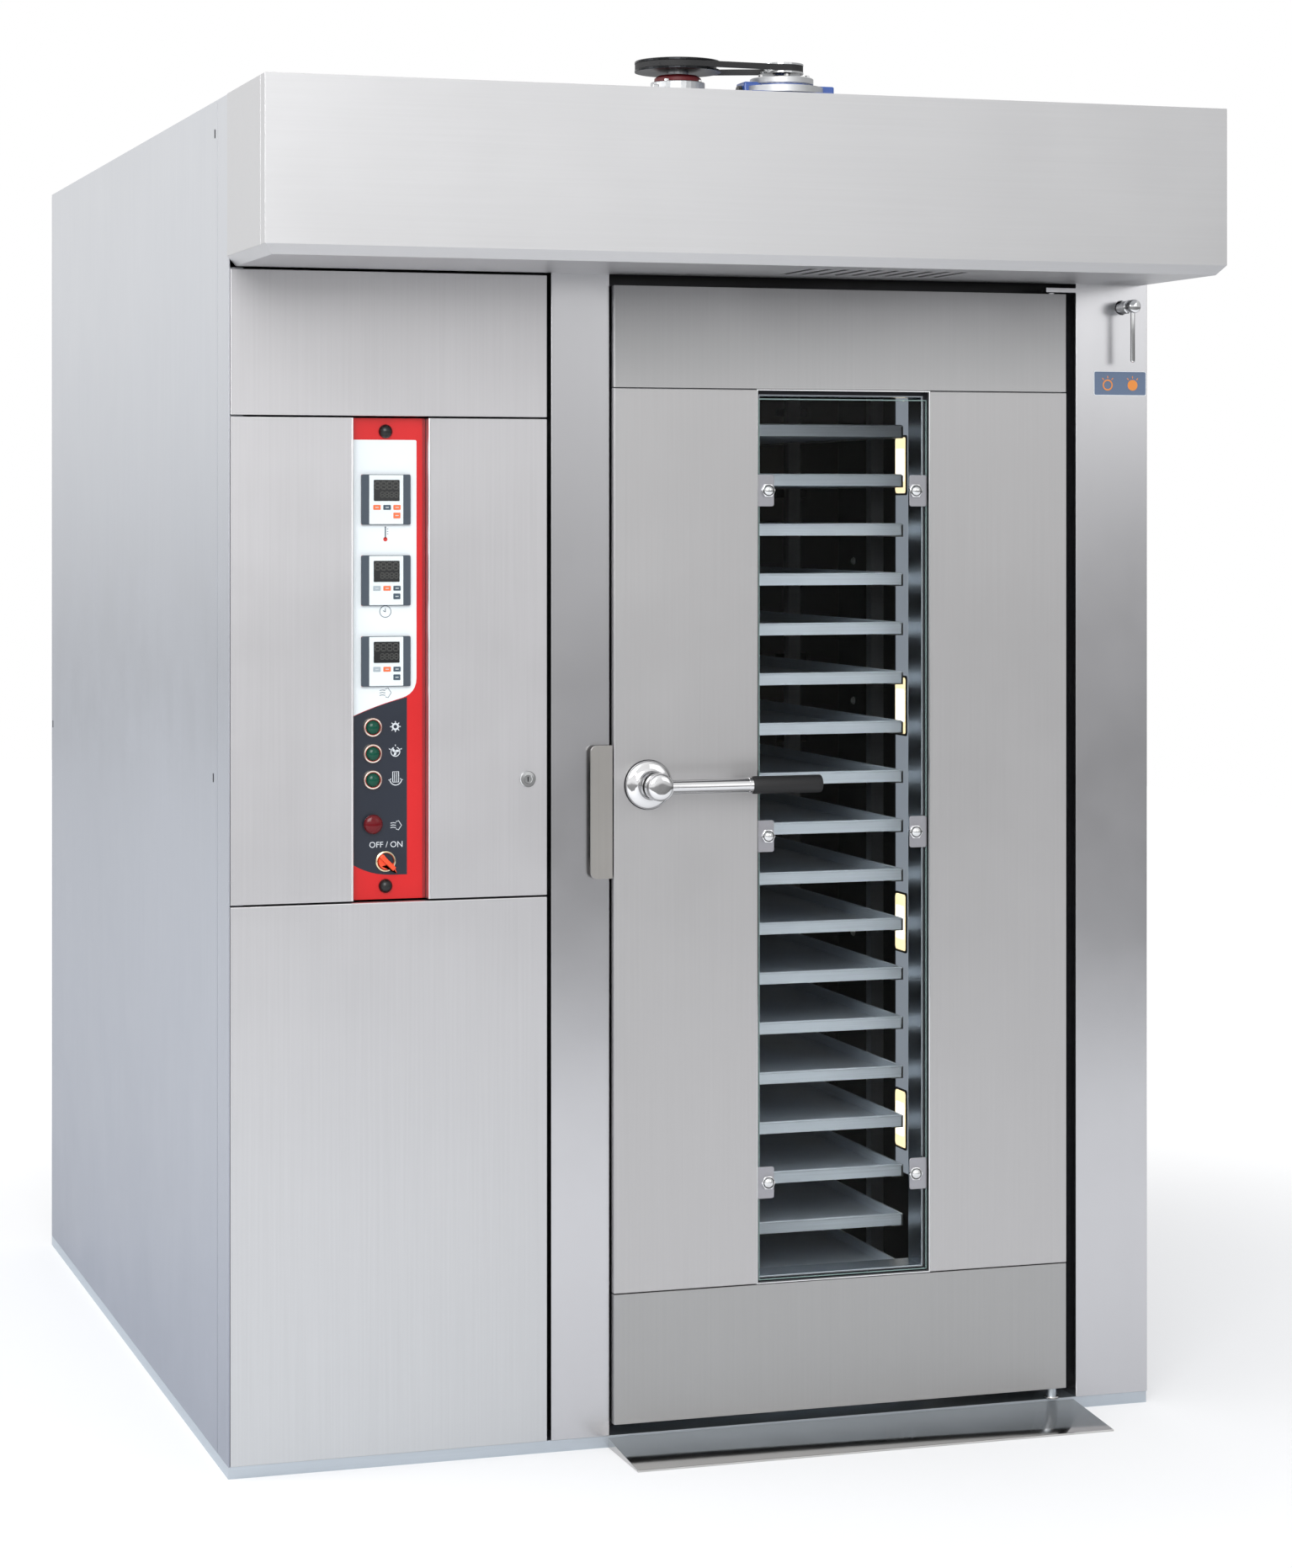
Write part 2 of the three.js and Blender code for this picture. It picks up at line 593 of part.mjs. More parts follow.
// Pillar between the service bay and the door, with a slot that the lock's cam turns into.
function centrePillar() {
  const outline = foldedSheet([
    [PILLAR_LEFT, FRONT_FRAME_DEPTH],
    [PILLAR_LEFT, 0],
    [PILLAR_RIGHT, 0],
    [PILLAR_RIGHT, FRONT_FRAME_DEPTH],
  ]);
  const half = LOCK_CAM_WIDTH / 2;
  const sweep = Math.sqrt(LOCK_CAM_LENGTH ** 2 + half ** 2 - (PILLAR_LEFT - LOCK_X) ** 2);
  const slot = box(PILLAR_LEFT - 1, PILLAR_LEFT + 2 * SHEET,
    LOCK_BARREL_LENGTH - LOCK_SLOT_MARGIN, LOCK_CAM_BACK + LOCK_SLOT_MARGIN,
    LOCK_Z - half - LOCK_SLOT_MARGIN, LOCK_Z + sweep + LOCK_SLOT_MARGIN);
  return cut(prism(outline, PANEL_BASE, FRAME_TOP), slot);
}

// Column on the hinge side: the damper's spindle goes through its face, and a bracket on its inner
// side carries the door's upper pivot.
function rightColumn() {
  const outline = foldedSheet([
    [COLUMN_LEFT, FRONT_FRAME_DEPTH],
    [COLUMN_LEFT, 0],
    [CASING_WIDTH, 0],
    [CASING_WIDTH, FRONT_FRAME_DEPTH],
  ]);
  const hole = bar("y", DAMPER_X, DAMPER_HEIGHT, -1, 2 * SHEET, DAMPER_SPINDLE_RADIUS + FIT);
  const bracketBase = DOOR_TOP + HINGE_BRACKET_GAP;
  return join(
    cut(prism(outline, PANEL_BASE, FRAME_TOP), hole),
    box(HINGE_X - HINGE_BRACKET_LAP, COLUMN_LEFT + SHEET / 2, 0, HINGE_BRACKET_DEPTH,
      bracketBase, bracketBase + HINGE_BRACKET_THICKNESS),
    bar("z", HINGE_X, HINGE_AXIS_DEPTH, DOOR_TOP - HINGE_PIN_LENGTH, bracketBase + 1,
      HINGE_PIN_RADIUS),
  );
}
piece("centre_pillar", centrePillar(), brushedSteel());
piece("right_column", rightColumn(), brushedSteel());

// Hood: a folded box with a chamfered lower edge, open at the back towards the casing, with
// vapour slots in its underside and a top lip that laps over the front frame.
function hoodShell() {
  const left = -HOOD_OVERHANG;
  const right = CASING_WIDTH + HOOD_OVERHANG;
  const chamferTop = HOOD_BASE + HOOD_CHAMFER_HEIGHT;
  const back = -FIT;
  const full = [left, right, -HOOD_REACH, back];
  const foot = [left + HOOD_CHAMFER_INSET, right - HOOD_CHAMFER_INSET,
    -HOOD_REACH + HOOD_CHAMFER_INSET, back];
  const inside = ([x0, x1, y0, y1]) => [x0 + SHEET, x1 - SHEET, y0 + SHEET, y1 + 1];
  const outer = join(
    box(...full, chamferTop, CASING_HEIGHT),
    taperedBlock(foot, full, HOOD_BASE, chamferTop),
  );
  const hollow = join(
    box(...inside(full), chamferTop, CASING_HEIGHT - SHEET),
    taperedBlock(inside(foot), inside(full), HOOD_BASE + SHEET, chamferTop),
  );
  const slots = [];
  for (let i = 0; i < HOOD_SLOT_COUNT; i += 1) {
    const x = (DOOR_LEFT + DOOR_RIGHT) / 2 + (i - (HOOD_SLOT_COUNT - 1) / 2) * HOOD_SLOT_PITCH;
    slots.push(
      box(x - HOOD_SLOT_WIDTH / 2, x + HOOD_SLOT_WIDTH / 2,
        -(HOOD_REACH + HOOD_SLOT_LENGTH) / 2, -(HOOD_REACH - HOOD_SLOT_LENGTH) / 2,
        HOOD_BASE - 1, HOOD_BASE + 2 * SHEET),
    );
  }
  const seamBack = -HOOD_REACH + HOOD_RETURN;
  const seams = [left, right].map((x) =>
    box(x - SHEET / 2, x + SHEET / 2, seamBack - SEAM_WIDTH, seamBack, chamferTop,
      CASING_HEIGHT + 1),
  );
  const lip = box(SHEET + FIT, CASING_WIDTH - SHEET - FIT, back - SHEET, FRONT_FRAME_DEPTH,
    CASING_HEIGHT - SHEET, CASING_HEIGHT);
  return join(cut(outer, hollow, ...slots, ...seams), lip);
}
piece("hood_shell", hoodShell(), brushedSteel());

// Fixed panels above and below the service door.
piece(
  "service_top_panel",
  pan(SERVICE_LEFT, SERVICE_WIDTH, 0, SERVICE_FOLD, SERVICE_TOP_BASE,
    SERVICE_TOP_BASE + SERVICE_TOP_HEIGHT, "+y"),
  brushedSteel(),
);
piece(
  "service_bottom_panel",
  pan(SERVICE_LEFT, SERVICE_WIDTH, 0, SERVICE_FOLD, PANEL_BASE,
    SERVICE_DOOR_BASE - SERVICE_SEAM, "+y"),
  brushedSteel(),
);

// Chamber lining: one box with the doorway in front, the shaft's hole above and the fan's hole
// behind.
function chamberBox() {
  const shell = box(CHAMBER_LEFT - CHAMBER_WALL, CHAMBER_RIGHT + CHAMBER_WALL,
    CHAMBER_FRONT, CHAMBER_BACK, PANEL_BASE, CHAMBER_TOP + CHAMBER_WALL);
  const cavity = box(CHAMBER_LEFT, CHAMBER_RIGHT, CHAMBER_FRONT + CHAMBER_WALL, PLENUM_BACK,
    CHAMBER_FLOOR_TOP, CHAMBER_TOP);
  const doorway = box(DOOR_LEFT + DOOR_LAP, DOOR_RIGHT - DOOR_LAP, CHAMBER_FRONT - 1,
    CHAMBER_FRONT + CHAMBER_WALL + 1, CHAMBER_FLOOR_TOP, DOOR_TOP - DOOR_LAP);
  const shaftHole = bar("z", RACK_X, RACK_AXIS_DEPTH, CHAMBER_TOP - 1,
    CHAMBER_TOP + CHAMBER_WALL + 1, SHAFT_RADIUS + SHEET);
  const fanHole = bar("y", RACK_X, FAN_HEIGHT, PLENUM_BACK - 1, CHAMBER_BACK + 1,
    FAN_SHAFT_RADIUS + SHEET);
  return cut(shell, cavity, doorway, shaftHole, fanHole);
}
piece("chamber_box", chamberBox(), darkSteel());

// Air duct wall behind the rack: outlet slots down both sides, intake slots before the fan.
function airDuctPanel() {
  const sheet = box(CHAMBER_LEFT + FIT, CHAMBER_RIGHT - FIT, DUCT_FRONT, DUCT_FRONT + DUCT_SHEET,
    CHAMBER_FLOOR_TOP + FIT, CHAMBER_TOP - FIT);
  const slots = [];
  const slot = (x0, x1, z, height) =>
    box(x0, x1, DUCT_FRONT - 1, DUCT_FRONT + DUCT_SHEET + 1, z, z + height);
  for (let i = 0; i < DUCT_SLOT_ROWS; i += 1) {
    const z = DUCT_SLOT_BASE + i * DUCT_SLOT_PITCH;
    const left = CHAMBER_LEFT + DUCT_SLOT_EDGE;
    const right = CHAMBER_RIGHT - DUCT_SLOT_EDGE;
    slots.push(slot(left, left + DUCT_SLOT_WIDTH, z, DUCT_SLOT_HEIGHT));
    slots.push(slot(right - DUCT_SLOT_WIDTH, right, z, DUCT_SLOT_HEIGHT));
  }
  for (let i = 0; i < INTAKE_SLOT_ROWS; i += 1) {
    const z = FAN_HEIGHT + (i - (INTAKE_SLOT_ROWS - 1) / 2) * INTAKE_SLOT_PITCH;
    slots.push(slot(RACK_X - INTAKE_SLOT_LENGTH / 2, RACK_X + INTAKE_SLOT_LENGTH / 2, z,
      INTAKE_SLOT_WIDTH));
  }
  return cut(sheet, ...slots);
}
piece("air_duct_panel", airDuctPanel(), darkSteel());

// Heating elements: hairpin tubes on a plate at the plenum's right wall.
function heatingElements() {
  const y = DUCT_FRONT + DUCT_SHEET + ELEMENT_OFFSET;
  const plateRight = CHAMBER_RIGHT - FIT;
  const plateLeft = plateRight - ELEMENT_PLATE_THICKNESS;
  const end = plateLeft - ELEMENT_REACH;
  const top = ELEMENT_BASE + (ELEMENT_COUNT - 1) * ELEMENT_PITCH + ELEMENT_BEND;
  const pieces = [
    box(plateLeft, plateRight, y - ELEMENT_PLATE_MARGIN, y + ELEMENT_PLATE_MARGIN,
      ELEMENT_BASE - ELEMENT_PLATE_MARGIN, top + ELEMENT_PLATE_MARGIN),
  ];
  for (let i = 0; i < ELEMENT_COUNT; i += 1) {
    const z = ELEMENT_BASE + i * ELEMENT_PITCH;
    pieces.push(bar("x", y, z, end, plateRight - 1, ELEMENT_RADIUS, 8));
    pieces.push(bar("x", y, z + ELEMENT_BEND, end, plateRight - 1, ELEMENT_RADIUS, 8));
    pieces.push(bar("z", end, y, z - ELEMENT_RADIUS, z + ELEMENT_BEND + ELEMENT_RADIUS,
      ELEMENT_RADIUS, 8));
  }
  return join(...pieces);
}
piece("heating_elements", heatingElements(), greyPaint());

// Fan motor on the back of the chamber, bored for the fan's shaft.
function fanMotor() {
  const body = join(
    bar("y", RACK_X, FAN_HEIGHT, FAN_MOTOR_FRONT, FAN_MOTOR_FRONT + FAN_MOTOR_FLANGE,
      FAN_MOTOR_FLANGE_RADIUS, 32),
    bar("y", RACK_X, FAN_HEIGHT, FAN_MOTOR_FRONT, FAN_MOTOR_FRONT + FAN_MOTOR_LENGTH,
      FAN_MOTOR_RADIUS, 32),
  );
  const bore = bar("y", RACK_X, FAN_HEIGHT, FAN_MOTOR_FRONT - 1,
    FAN_MOTOR_FRONT + FAN_SHAFT_IN_MOTOR + FIT, FAN_SHAFT_RADIUS + FIT);
  return cut(body, bore);
}
piece("fan_motor", fanMotor(), greyPaint());

// Circulation fan: back plate, swept blades, front ring, and the shaft that runs in the motor.
function fanImpeller() {
  const blades = [];
  for (let i = 0; i < FAN_BLADE_COUNT; i += 1) {
    const blade = new THREE.BoxGeometry(FAN_RADIUS - FAN_EYE_RADIUS, FAN_WIDTH - FAN_PLATE,
      FAN_PLATE);
    blade.rotateY(THREE.MathUtils.degToRad(FAN_BLADE_SWEEP));
    blade.translate((FAN_RADIUS + FAN_EYE_RADIUS) / 2, 0, 0);
    blade.rotateY((i / FAN_BLADE_COUNT) * 2 * Math.PI);
    blade.translate(RACK_X, (FAN_FRONT + FAN_BACK) / 2, FAN_HEIGHT);
    blades.push(solidOf(blade));
  }
  const ring = cut(
    bar("y", RACK_X, FAN_HEIGHT, FAN_FRONT, FAN_FRONT + FAN_PLATE, FAN_RADIUS, 40),
    bar("y", RACK_X, FAN_HEIGHT, FAN_FRONT - 1, FAN_FRONT + FAN_PLATE + 1, FAN_EYE_RADIUS, 40),
  );
  return join(
    bar("y", RACK_X, FAN_HEIGHT, FAN_BACK - FAN_PLATE, FAN_BACK, FAN_RADIUS, 40),
    bar("y", RACK_X, FAN_HEIGHT, FAN_FRONT, FAN_BACK, FAN_HUB_RADIUS),
    bar("y", RACK_X, FAN_HEIGHT, FAN_FRONT, FAN_MOTOR_FRONT + FAN_SHAFT_IN_MOTOR,
      FAN_SHAFT_RADIUS),
    ring,
    ...blades,
  );
}
piece("fan_impeller", fanImpeller(), aluminium());

// Entry ramp: a polished wedge from the floor up to the plinth.
piece(
  "ramp",
  sidePrism(
    [
      [PLINTH_SETBACK - FIT, 0],
      [PLINTH_SETBACK - FIT, RAMP_HEIGHT],
      [PLINTH_SETBACK - RAMP_DEPTH + RAMP_NOSE, RAMP_NOSE],
      [PLINTH_SETBACK - RAMP_DEPTH, RAMP_NOSE],
      [PLINTH_SETBACK - RAMP_DEPTH, 0],
    ],
    DOOR_LEFT - RAMP_LEFT_LAP,
    DOOR_RIGHT + RAMP_RIGHT_LAP,
  ),
  polishedSteel(),
);

// Keeper plate: stands off the pillar on two spacers, and the latch tongue turns in behind it.
function keeperPlate() {
  const top = KEEPER_BASE + KEEPER_HEIGHT;
  const corner = KEEPER_CORNER;
  const outline = new THREE.Shape();
  outline.moveTo(KEEPER_RIGHT, KEEPER_BASE);
  outline.lineTo(KEEPER_RIGHT, top);
  outline.lineTo(KEEPER_LEFT + corner, top);
  outline.absarc(KEEPER_LEFT + corner, top - corner, corner, Math.PI / 2, Math.PI);
  outline.absarc(KEEPER_LEFT + corner, KEEPER_BASE + corner, corner, Math.PI, 1.5 * Math.PI);
  const front = -KEEPER_STANDOFF - KEEPER_THICKNESS;
  const spacerLeft = (KEEPER_LEFT + KEEPER_RIGHT - KEEPER_SPACER_WIDTH) / 2;
  const spacer = (z) =>
    box(spacerLeft, spacerLeft + KEEPER_SPACER_WIDTH, -KEEPER_STANDOFF - 1, -FIT, z,
      z + KEEPER_SPACER_HEIGHT);
  return join(
    frontPrism(outline, front, -KEEPER_STANDOFF),
    spacer(KEEPER_BASE + KEEPER_SPACER_INSET),
    spacer(top - KEEPER_SPACER_INSET - KEEPER_SPACER_HEIGHT),
  );
}
piece("keeper_plate", keeperPlate(), brushedSteel());

// ---- Service door with the controls ----

const serviceDoor = new THREE.Group();
oven.add(serviceDoor);

// One folded sheet: two flat fields with the control channel between them.
function serviceDoorSheet() {
  const channelRight = CHANNEL_LEFT + CHANNEL_WIDTH;
  const outline = foldedSheet([
    [SERVICE_LEFT, SERVICE_FOLD],
    [SERVICE_LEFT, 0],
    [CHANNEL_LEFT, 0],
    [CHANNEL_LEFT, CHANNEL_DEPTH],
    [channelRight, CHANNEL_DEPTH],
    [channelRight, 0],
    [SERVICE_WIDTH, 0],
    [SERVICE_WIDTH, SERVICE_FOLD],
  ]);
  const opening = box(CHANNEL_LEFT + CHANNEL_LEDGE, channelRight - CHANNEL_LEDGE,
    CHANNEL_DEPTH - 1, CHANNEL_DEPTH + 2 * SHEET,
    SERVICE_DOOR_BASE + CHANNEL_LEDGE, SERVICE_DOOR_TOP - CHANNEL_LEDGE);
  const lockHole = bar("y", LOCK_X, LOCK_Z, -1, 2 * SHEET, LOCK_BARREL_RADIUS + FIT);
  return cut(prism(outline, SERVICE_DOOR_BASE, SERVICE_DOOR_TOP), opening, lockHole);
}
piece("service_door", serviceDoorSheet(), brushedSteel(), serviceDoor);

// Control plate with the controllers, the button and switch bezels and its two dome fixings.
function controlPlateSolid() {
  const left = CHANNEL_LEFT + FIT;
  const right = CHANNEL_LEFT + CHANNEL_WIDTH - FIT;
  const back = PLATE_FRONT + PLATE_THICKNESS;
  const added = [];
  for (let i = 0; i < CONTROLLER_COUNT; i += 1) {
    const z = SERVICE_DOOR_BASE + CONTROLLER_RISE + i * CONTROLLER_PITCH;
    const face = CONTROLLER_SIZE / 2;
    const body = CONTROLLER_BODY / 2;
    added.push(box(CONTROL_X - face, CONTROL_X + face, PLATE_FRONT - CONTROLLER_FACE,
      PLATE_FRONT + 1, z - face, z + face));
    added.push(box(CONTROL_X - body, CONTROL_X + body, PLATE_FRONT,
      back + CONTROLLER_DEPTH, z - body, z + body));
  }
  for (const z of [SERVICE_DOOR_BASE + PLATE_KNOB_INSET, SERVICE_DOOR_TOP - PLATE_KNOB_INSET]) {
    const r = PLATE_KNOB_RADIUS;
    added.push(turnedForward([[0, -1], [r, -1], [r, 0.3 * r], [0.7 * r, 0.75 * r], [0, 0.9 * r]],
      CONTROL_X, PLATE_FRONT, z, 20));
  }
  const holes = [];
  const bezel = (x, z, radius) => {
    added.push(bar("y", x, z, PLATE_FRONT - BEZEL_HEIGHT, back, radius + BEZEL_WALL, 32));
    holes.push(bar("y", x, z, PLATE_FRONT - BEZEL_HEIGHT - 1, back + 1, radius + FIT, 32));
  };
  for (let i = 0; i < GREEN_BUTTON_COUNT; i += 1) {
    bezel(BUTTON_X, SERVICE_DOOR_BASE + GREEN_BUTTON_RISE + i * GREEN_BUTTON_PITCH, BUTTON_RADIUS);
  }
  holes.push(bar("y", BUTTON_X, SERVICE_DOOR_BASE + RED_BUTTON_RISE, PLATE_FRONT - 1, back + 1,
    BUTTON_RADIUS + FIT, 32));
  holes.push(bar("y", CONTROL_X, SERVICE_DOOR_BASE + SWITCH_RISE, PLATE_FRONT - 1, back + 1,
    SWITCH_SHANK_RADIUS + FIT));
  const plate = box(left, right, PLATE_FRONT, back, SERVICE_DOOR_BASE + FIT,
    SERVICE_DOOR_TOP - FIT);
  return cut(join(plate, ...added), ...holes);
}
piece("control_plate", controlPlateSolid(), controlPlate(), serviceDoor);

// Push buttons: a domed cap on a shank that slides in the plate.
function buttonSolid(capRadius) {
  const proud = BUTTON_PROUD + BEZEL_HEIGHT;
  const dome = BUTTON_DOME;
  const shank = -PLATE_THICKNESS - BUTTON_SHANK;
  const edge = capRadius > BUTTON_RADIUS ? BUTTON_PROUD - 1 : 0;
  const profile = [[0, shank], [BUTTON_RADIUS, shank], [BUTTON_RADIUS, edge]];
  if (capRadius > BUTTON_RADIUS) profile.push([capRadius, edge]);
  profile.push([capRadius, proud - dome], [0.8 * capRadius, proud - 0.4 * dome], [0, proud]);
  return turnedForward(profile, 0, 0, 0);
}
const greenButton = buttonSolid(BUTTON_RADIUS);
for (let i = 0; i < GREEN_BUTTON_COUNT; i += 1) {
  const button = piece(`green_button_${i + 1}`, greenButton, greenLens(), serviceDoor);
  const rise = GREEN_BUTTON_RISE + (GREEN_BUTTON_COUNT - 1 - i) * GREEN_BUTTON_PITCH;
  button.position.set(BUTTON_X, PLATE_FRONT, SERVICE_DOOR_BASE + rise);
}
const redButton = piece("red_button", buttonSolid(RED_BUTTON_RADIUS), redLens(), serviceDoor);
redButton.position.set(BUTTON_X, PLATE_FRONT, SERVICE_DOOR_BASE + RED_BUTTON_RISE);

// Rotary main switch: a round skirt with a grip bar across it, on a shank through the plate.
function mainSwitchSolid() {
  const skirt = SWITCH_PROUD / 2;
  const half = SWITCH_GRIP_WIDTH / 2;
  return join(
    bar("y", 0, 0, -skirt - FIT, -FIT, SWITCH_RADIUS, 32),
    bar("y", 0, 0, -1, PLATE_THICKNESS + BUTTON_SHANK, SWITCH_SHANK_RADIUS),
    box(-half, half, -SWITCH_PROUD, -1, -0.9 * SWITCH_RADIUS, 0.9 * SWITCH_RADIUS),
  );
}
const mainSwitch = piece("main_switch", mainSwitchSolid(), redPlastic(), serviceDoor);
mainSwitch.position.set(CONTROL_X, PLATE_FRONT, SERVICE_DOOR_BASE + SWITCH_RISE);

// Quarter-turn lock: head and barrel through the door, with a cam that points up when open.
function serviceLock() {
  const half = LOCK_CAM_WIDTH / 2;
  return join(
    bar("y", LOCK_X, LOCK_Z, -SHEET - FIT, -FIT, LOCK_HEAD_RADIUS),
    bar("y", LOCK_X, LOCK_Z, -SHEET, LOCK_CAM_BACK, LOCK_BARREL_RADIUS),
    box(LOCK_X - half, LOCK_X + half, LOCK_BARREL_LENGTH, LOCK_CAM_BACK, LOCK_Z - half,
      LOCK_Z + LOCK_CAM_LENGTH),
  );
}
piece("service_lock", serviceLock(), chrome(), serviceDoor);

// ---- Oven door ----

const ovenDoor = new THREE.Group();
oven.add(ovenDoor);

// Core: a hollow leaf round the window opening, with holes for the pivots and the spindle.
function doorCore() {
  const left = DOOR_LEFT + DOOR_CORE_INSET;
  const right = DOOR_RIGHT - DOOR_CORE_INSET;
  const wall = DOOR_CORE_WALL;
  const windowFrame = (grow, y0, y1) =>
    box(WINDOW_LEFT + WINDOW_REST - grow, WINDOW_RIGHT - WINDOW_REST + grow, y0, y1,
      WINDOW_BASE + WINDOW_REST - grow, WINDOW_TOP - WINDOW_REST + grow);
  const hollow = cut(
    box(left + wall, right - wall, wall, DOOR_CORE_DEPTH - wall, DOOR_BASE + wall,
      DOOR_TOP - wall),
    windowFrame(wall, 0, DOOR_CORE_DEPTH),
  );
  const pivot = (z0, z1) => bar("z", HINGE_X, HINGE_AXIS_DEPTH, z0, z1, HINGE_PIN_RADIUS + FIT);
  return cut(
    box(left, right, 0, DOOR_CORE_DEPTH, DOOR_BASE, DOOR_TOP),
    windowFrame(0, -1, DOOR_CORE_DEPTH + 1),
    hollow,
    pivot(DOOR_BASE - 1, DOOR_BASE + 2 * wall),
    pivot(DOOR_TOP - 2 * wall, DOOR_TOP + 1),
    bar("y", HANDLE_X, HANDLE_HEIGHT, -1, 2 * wall, SPINDLE_RADIUS + FIT),
  );
}
piece("door_core", doorCore(), darkSteel(), ovenDoor);

// Skins: four folded trays that cover the core and frame the window.
const doorSkin = (x0, x1, z0, z1) => pan(x0, x1, DOOR_FRONT, -FIT, z0, z1, "+y");
const KICK_TOP = DOOR_BASE + DOOR_KICK_HEIGHT;
const HEAD_BASE = DOOR_TOP - DOOR_HEAD_HEIGHT;
piece("door_skin_top", doorSkin(DOOR_LEFT, DOOR_RIGHT, HEAD_BASE, DOOR_TOP), brushedSteel(),
  ovenDoor);
piece("door_skin_bottom", doorSkin(DOOR_LEFT, DOOR_RIGHT, DOOR_BASE, KICK_TOP), brushedSteel(),
  ovenDoor);
piece("door_skin_right", doorSkin(WINDOW_RIGHT, DOOR_RIGHT, WINDOW_BASE, WINDOW_TOP),
  brushedSteel(), ovenDoor);

// The left skin has the spindle's hole and, in its outer fold, the slot that the tongue leaves by.
function doorSkinLeft() {
  const hole = bar("y", HANDLE_X, HANDLE_HEIGHT, DOOR_FRONT - 1, DOOR_FRONT + 2 * SHEET,
    SPINDLE_RADIUS + FIT);
  const reach = Math.sqrt(TONGUE_LENGTH ** 2 - HANDLE_INSET ** 2);
  const slot = box(DOOR_LEFT - 1, DOOR_LEFT + 2 * SHEET, TONGUE_FRONT - TONGUE_SLOT_MARGIN / 2,
    TONGUE_BACK + TONGUE_SLOT_MARGIN / 2, HANDLE_HEIGHT - reach - TONGUE_WIDTH / 2,
    HANDLE_HEIGHT + TONGUE_WIDTH / 2 + TONGUE_SLOT_MARGIN);
  return cut(doorSkin(DOOR_LEFT, WINDOW_LEFT, WINDOW_BASE, WINDOW_TOP), hole, slot);
}
piece("door_skin_left", doorSkinLeft(), brushedSteel(), ovenDoor);

// Window pane: lies on the core's edge, between the skins.
piece(
  "window_glass",
  box(WINDOW_LEFT + GLASS_GAP, WINDOW_RIGHT - GLASS_GAP, -FIT - GLASS_THICKNESS, -FIT,
    WINDOW_BASE + GLASS_GAP, WINDOW_TOP - GLASS_GAP),
  glass(),
  ovenDoor,
);

// Handle: rosette, neck and domed head turned in one, with the spindle behind and the lever bar.
function handleLever() {
  const head = HUB_REACH - HUB_HEAD_LENGTH;
  const hub = turnedForward(
    [
      [0, 0],
      [ROSETTE_RADIUS, 0],
      [0.97 * ROSETTE_RADIUS, 0.35 * ROSETTE_HEIGHT],
      [HUB_NECK_RADIUS + 4, ROSETTE_HEIGHT],
      [HUB_NECK_RADIUS, ROSETTE_HEIGHT + 4],
      [HUB_NECK_RADIUS, head],
      [HUB_HEAD_RADIUS, head + 4],
      [HUB_HEAD_RADIUS, HUB_REACH - 8],
      [0.72 * HUB_HEAD_RADIUS, HUB_REACH - 2],
      [0, HUB_REACH],
    ],
    HANDLE_X, HUB_FACE, HANDLE_HEIGHT,
  );
  return join(
    hub,
    bar("y", HANDLE_X, HANDLE_HEIGHT, HUB_FACE - 1, SPINDLE_DEPTH, SPINDLE_RADIUS),
    bar("x", LEVER_Y, HANDLE_HEIGHT, HANDLE_X, HANDLE_X + LEVER_REACH - GRIP_END - FIT,
      LEVER_RADIUS),
  );
}
piece("handle_lever", handleLever(), chrome(), ovenDoor);

// Grip: a sleeve closed at its end, pushed over the lever.
function handleGrip() {
  const end = HANDLE_X + LEVER_REACH;
  return cut(
    bar("x", LEVER_Y, HANDLE_HEIGHT, end - GRIP_LENGTH, end, GRIP_RADIUS),
    bar("x", LEVER_Y, HANDLE_HEIGHT, end - GRIP_LENGTH - 1, end - GRIP_END, LEVER_RADIUS + FIT),
  );
}
piece("handle_grip", handleGrip(), blackPlastic(), ovenDoor);

// Latch tongue on the spindle, between skin and core. It points down while the latch is open.
function latchTongue() {
  const half = TONGUE_WIDTH / 2;
  const arm = box(HANDLE_X - half, HANDLE_X + half, TONGUE_FRONT, TONGUE_BACK,
    HANDLE_HEIGHT - TONGUE_LENGTH, HANDLE_HEIGHT);
  const eye = bar("y", HANDLE_X, HANDLE_HEIGHT, TONGUE_FRONT, TONGUE_BACK, TONGUE_EYE_RADIUS);
  const bore = bar("y", HANDLE_X, HANDLE_HEIGHT, TONGUE_FRONT - 1, TONGUE_BACK + 1,
    SPINDLE_RADIUS + FIT);
  return cut(join(arm, eye), bore);
}
piece("latch_tongue", latchTongue(), darkSteel(), ovenDoor);

// ---- Damper ----

// Spindle through the column, hanging lever in front and flap welded on behind.
function damperLever() {
  const rodY = -DAMPER_REACH + DAMPER_ROD_SETBACK;
  const half = SHEET / 2;
  return join(
    bar("y", DAMPER_X, DAMPER_HEIGHT, -DAMPER_REACH, DAMPER_FLAP_END, DAMPER_SPINDLE_RADIUS),
    bar("z", DAMPER_X, rodY, DAMPER_HEIGHT - DAMPER_ROD_LENGTH, DAMPER_HEIGHT, DAMPER_ROD_RADIUS,
      12),
    box(DAMPER_X - DAMPER_FLAP_HALF_WIDTH, DAMPER_X + DAMPER_FLAP_HALF_WIDTH, DAMPER_FLAP_START,
      DAMPER_FLAP_END, DAMPER_HEIGHT - half, DAMPER_HEIGHT + half),
  );
}
piece("damper_lever", damperLever(), chrome());

// ---- Rack, trays and drive, about the vertical axis that they turn on ----

const rotor = new THREE.Group();
rotor.position.set(RACK_X, RACK_AXIS_DEPTH, 0);
oven.add(rotor);

